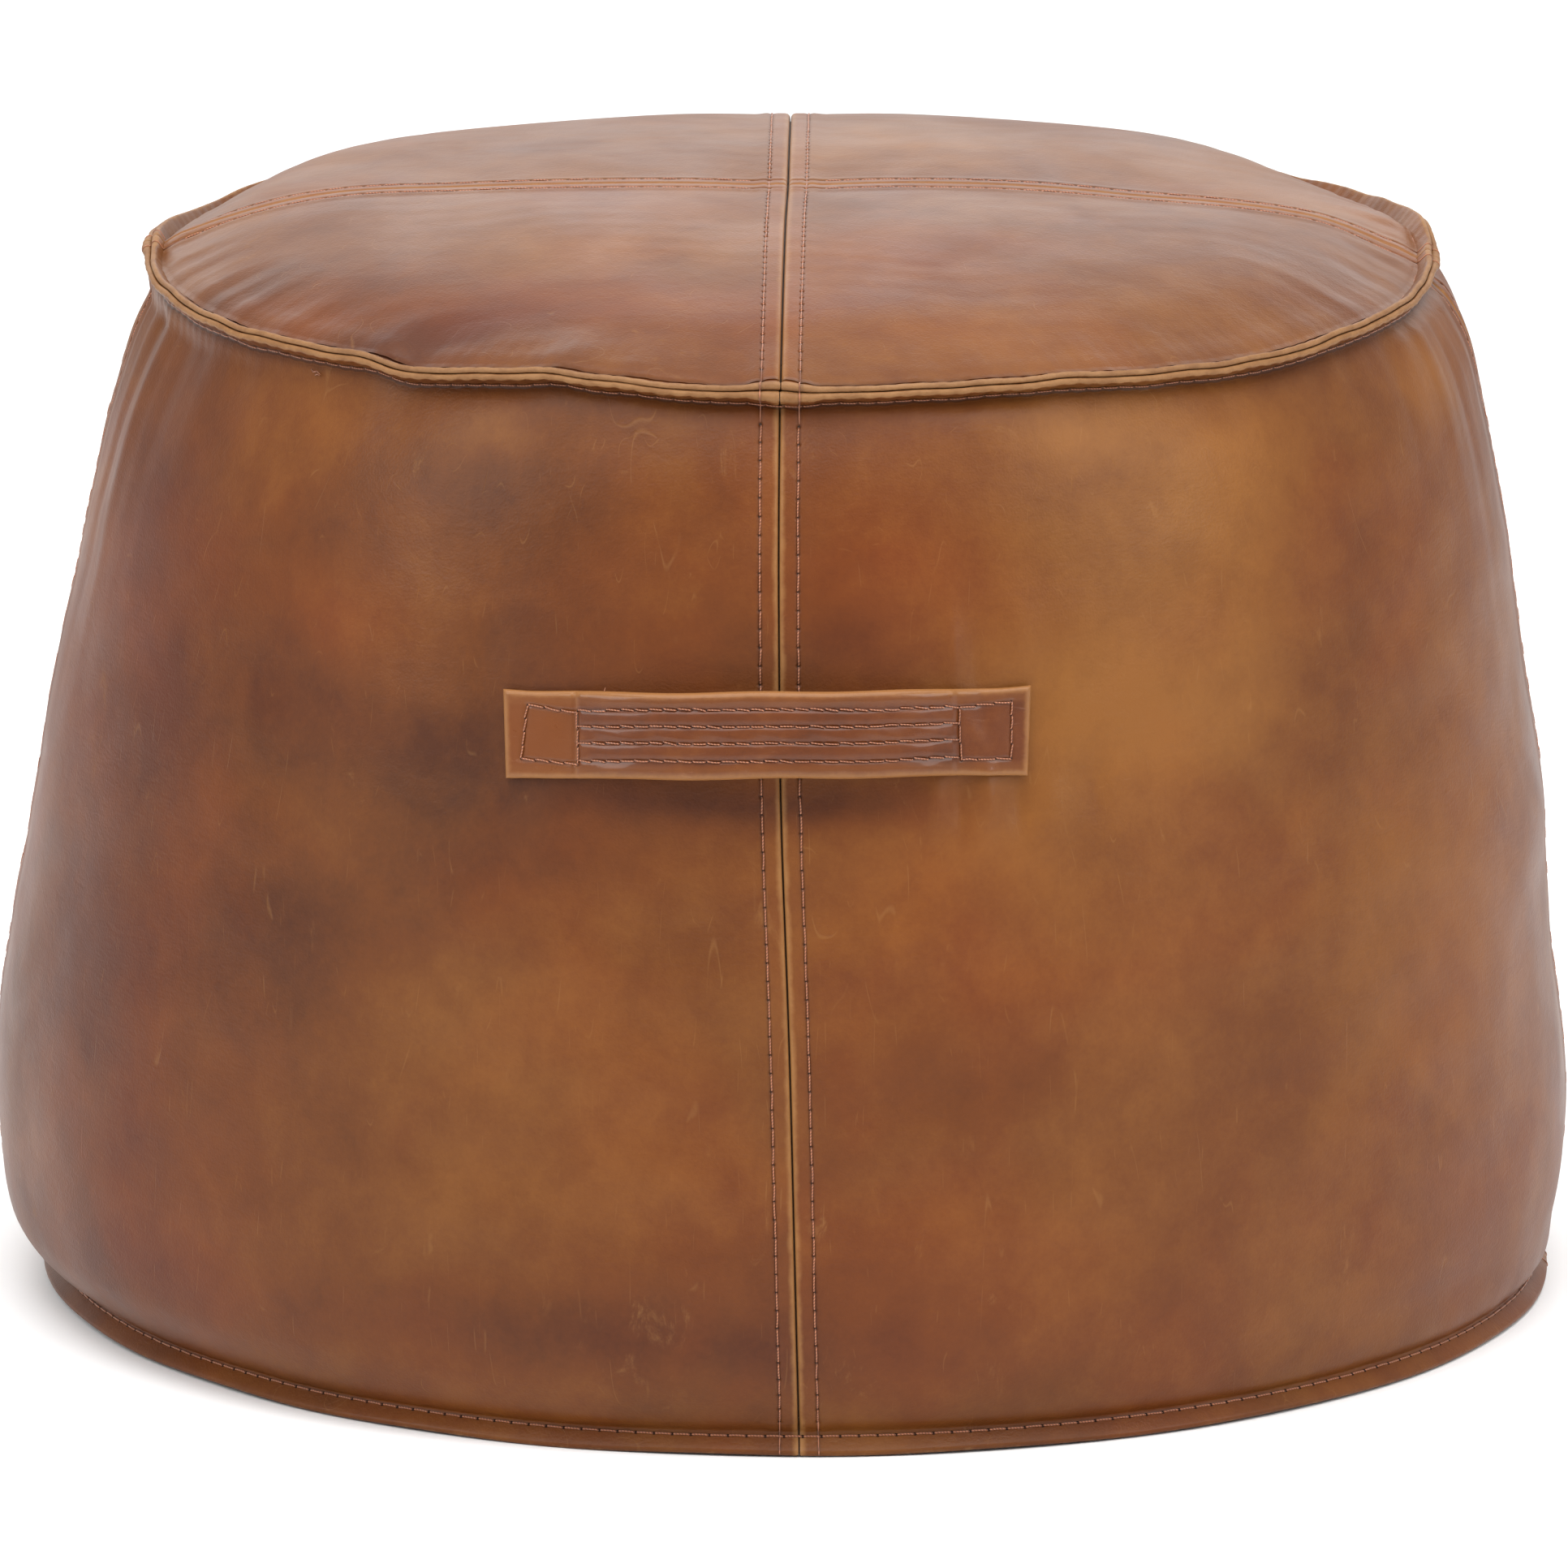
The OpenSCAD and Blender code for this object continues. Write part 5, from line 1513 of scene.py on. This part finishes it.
def build_cover():
    for k, (place, (start, stop)) in enumerate(QUARTERS.items()):
        shifts = [(3.1 * i, 1.7 * i, 0.9 * i) for i in (k, k + 5)]
        material = leather("leather_side_" + place, shifts[0])
        side = side_panel(place + "_side_leather", start, stop, material)
        declare(side, "cover_leather", "side_panel_" + place, soft=0.85)
        material = leather("leather_top_" + place, shifts[1], wear=0.4, strip_tint=0.8, shine=0.31)
        sx, sy = 1 if "right" in place else -1, 1 if "back" in place else -1
        top = crown_panel(place + "_top_leather", sx, sy, material)
        declare(top, "cover_leather", "top_panel_" + place, soft=0.85)


def add_thread(name, parts, node, material):
    points, faces, ply = join_parts(parts)
    declare(make_object(name, points, faces, material, {"ply": ply}), "thread", node)


def crown_row(x, y, seed):
    """Stitches on the crown through the holes at x, y."""
    return thread_tubes(crown_at(x, y, 0.05), surface_normals(crown_at, x, y, 0.4, 0.4), seed=seed)


def ring_angles(count):
    return -180 + 360 * np.arange(count + 1) / count


def facing_xyz(a, facing):
    """Directions given as (outward, upward) pairs at each angle, as vectors."""
    return np.concatenate([frame_at(a) * facing[:, :1], facing[:, 1:]], -1)


def rim_row(upper, seed):
    """Stitches near the root of the rim flange, on its upper or its lower face."""
    a = ring_angles(RIM_STITCHES)
    seam, out, up = rim_lines(a)
    if upper:
        facing = up
        p = seam + (crown_ply(a) + PLY_GAP)[:, None] * up - 0.2 * up + 2.3 * out
    else:
        facing = unit(1.2 * out - up)
        root = seam - (side_ply(a) + PLY_GAP)[:, None] * up
        p = bezier(side_rz(a, SIDE_L - 2.2 + 0 * a, 0 * a), root, root + 2 * out, 0.45)
    holes = to_xyz(a, p[:, 0], p[:, 1])
    if upper:
        holes[:, 0] = crown_shift(holes[:, 0], holes[:, 1])
    return thread_tubes(holes, facing_xyz(a, facing), radius=0.25, lift=0.36, seed=seed)


def arc_points(centre, out, up, radius, start, stop, count=6):
    """Points round the tip of a fold, by the angle in degrees from out towards up."""
    turns = np.radians(np.linspace(start, stop, count))
    return [centre + radius * (math.cos(t) * out + math.sin(t) * up) for t in turns]


def rim_crossing(centre, side):
    """The thread of a seam's row where it goes on over both folds of the rim flange."""
    high = 0.1
    a = seam_angle(centre, SIDE_L) + side * math.degrees(ROW / RIM_R)
    seam, out, up = rim_lines(a)
    low_ply, top_ply = side_ply(a), crown_ply(a)
    low_tip = rim_flange_length(a, SIDE_PHASE) - low_ply / 2
    top_tip = rim_flange_length(a, CROWN_PHASE) - top_ply / 2
    low_face = seam - (low_ply + PLY_GAP + high) * up
    path = [side_rz(a, v, -high) for v in (SIDE_L - 7.0, SIDE_L - 4.0)]
    path.append(bezier(side_rz(a, SIDE_L - 2.2, -high), low_face, low_face + 2 * out, 0.4))
    path += [low_face + s * out for s in (2.2, 4.0, 0.9 * low_tip)]
    for way, ply, tip, stop in ((-1, low_ply, low_tip, 60), (1, top_ply, top_tip, 80)):
        middle = seam + way * (ply / 2 + PLY_GAP) * up + tip * out
        path += arc_points(middle, out, up, ply / 2 + high, -60, stop)
    top_face = seam + (top_ply + PLY_GAP + high) * up
    path += [top_face + s * out for s in (0.85 * top_tip, 4.0, 2.2)]
    points = [to_xyz(a, p[0], p[1]) for p in path]
    points += [crown_point(r, centre + side * math.degrees(ROW / r), -high) for r in (230.0, 227.0, 223.0)]
    return bent_tube(points, 0.22)


def hem_crossing(centre, side):
    """The same where the row runs down over the hem flange."""
    high = 0.1
    a = seam_angle(centre, 0.0) + side * math.degrees(ROW / HEM_R)
    seam, out, up = hem_lines(a)
    face = seam + (TURNED + PLY_GAP + high) * up
    tip = hem_flange_length(a) - TURNED / 2
    path = [side_rz(a, v, -high) for v in (7.5, 4.5)]
    path.append(bezier(side_rz(a, 2.2, -high), face, face + 2 * out, 0.5))
    path += [face + s * out for s in (2.2, 4.0, 6.0, tip)]
    path += arc_points(seam + (TURNED / 2 + PLY_GAP) * up + tip * out, out, up, TURNED / 2 + high, 70, 10, 4)
    return bent_tube([to_xyz(a, p[0], p[1]) for p in path], 0.22)


def hem_row():
    a = ring_angles(HEM_STITCHES)
    seam, out, up = hem_lines(a)
    p = seam + (TURNED + PLY_GAP - 0.1) * up + 1.9 * out
    return to_xyz(a, p[:, 0], p[:, 1]), facing_xyz(a, up)


# Ends of thread that were not trimmed: degrees, arc length below the rim, and how they lie (along, up, out)
LOOSE_ENDS = [(-47.5, 4.0, [(0, 0, 0.4), (2.2, -0.8, 1.2), (4.4, -0.3, 1.6), (6.6, -1.2, 1.3)]),
              (-46.8, 5.5, [(0, 0, 0.4), (1.6, 0.5, 1.1), (3.5, 0.2, 1.5)]),
              (-14.6, 113.0, [(0, 0, 0.3), (1.1, 2.6, 1.6), (2.6, 5.2, 2.2), (3.6, 7.6, 3.4)])]


def loose_end(a, below, path):
    v = SIDE_L - below
    foot = side_point(a, v)
    normal = surface_normals(side_point, np.array([a]), np.array([v]), 0.3, 2.0)[0]
    out = frame_at(a)
    along = np.array([-out[1], out[0], 0.0])
    rise = np.cross(normal, along) * -1
    rise = rise if rise[2] > 0 else -rise
    return bent_tube([foot + p * along + q * rise + r * normal for p, q, r in path], 0.24)


def build_threads(material, dark):
    for name, centre in SIDE_SEAMS:
        parts = [side_row(centre, side, int(40 + abs(centre) + side)) for side in (-1, 1)]
        parts += [crossing(centre, side) for crossing in (rim_crossing, hem_crossing) for side in (-1, 1)]
        add_thread("side_stitches_" + name, parts, "side_seam_thread_" + name, material)
    last = int((CROWN_EDGE[0] - 2.5) / PITCH)
    along = PITCH * np.arange(-last, last + 1)
    parts = [crown_row(side * ROW + 0 * along, along, 90 + side) for side in (-1, 1)]
    add_thread("top_stitches_front_back", parts, "top_seam_thread_front_back", material)
    for name, sx in (("left", -1), ("right", 1)):
        x = sx * PITCH * np.arange(2, last + 1)
        parts = [crown_row(x, side * ROW + 0 * x, 95 + 3 * side + sx) for side in (-1, 1)]
        add_thread("top_stitches_" + name, parts, "top_seam_thread_" + name, material)
    add_thread("loose_thread_ends", [loose_end(*end) for end in LOOSE_ENDS], "rim_thread", material)
    add_thread("rim_stitches", [rim_row(True, 120), rim_row(False, 121)], "rim_thread", material)
    holes, normals = hem_row()
    stitches = thread_tubes(holes, normals, radius=0.33, lift=0.42, seed=122)
    add_thread("hem_stitches", [stitches], "hem_thread", material)
    # dark discs in the hem's needle holes, painted shade
    add_thread("hem_needle_holes", [hole_discs(holes + 0.12 * normals, normals, 0.75)], "hem_thread", dark)


build_stage()
build_camera()
build_cover()
thread = thread_material("sewing_thread")
base_cloth = woven_material("base_cloth", rgb(56, 44, 38), rgb(26, 20, 18), 1.1)
liner_cloth = woven_material("liner_cloth", rgb(232, 224, 208), rgb(196, 186, 168), 0.8)
tape_cloth = woven_material("seam_tape_cloth", rgb(52, 32, 22), rgb(30, 18, 12), 0.7)
zip_cloth = woven_material("zip_tape_cloth", rgb(70, 52, 42), rgb(38, 28, 24), 0.6)
wadding = porous_material("wadding", rgb(244, 243, 238), rgb(214, 212, 204), 260.0)
foam = porous_material("foam", rgb(232, 214, 150), rgb(196, 170, 104), 700.0)
metal = metal_material("zip_brass")
# the dark of the needle-hole discs is painted shade in the holes
hole_dark = flat_material("needle_holes", rgb(36, 18, 9), 0.9)
build_threads(thread, hole_dark)
build_strap(strap_material("strap_leather"), thread, foam, hole_dark)
build_backing(leather_plain("backing_leather"))
build_inside(liner_cloth, wadding, tape_cloth)
build_base(base_cloth, zip_cloth)
for name in ("zip_teeth_front", "zip_teeth_back", "zip_end_stops", "zip_slider", "zip_pull"):
    paint_node(name, metal)
paint_node("liner_base", liner_cloth)
paint_node("foam_core", foam)
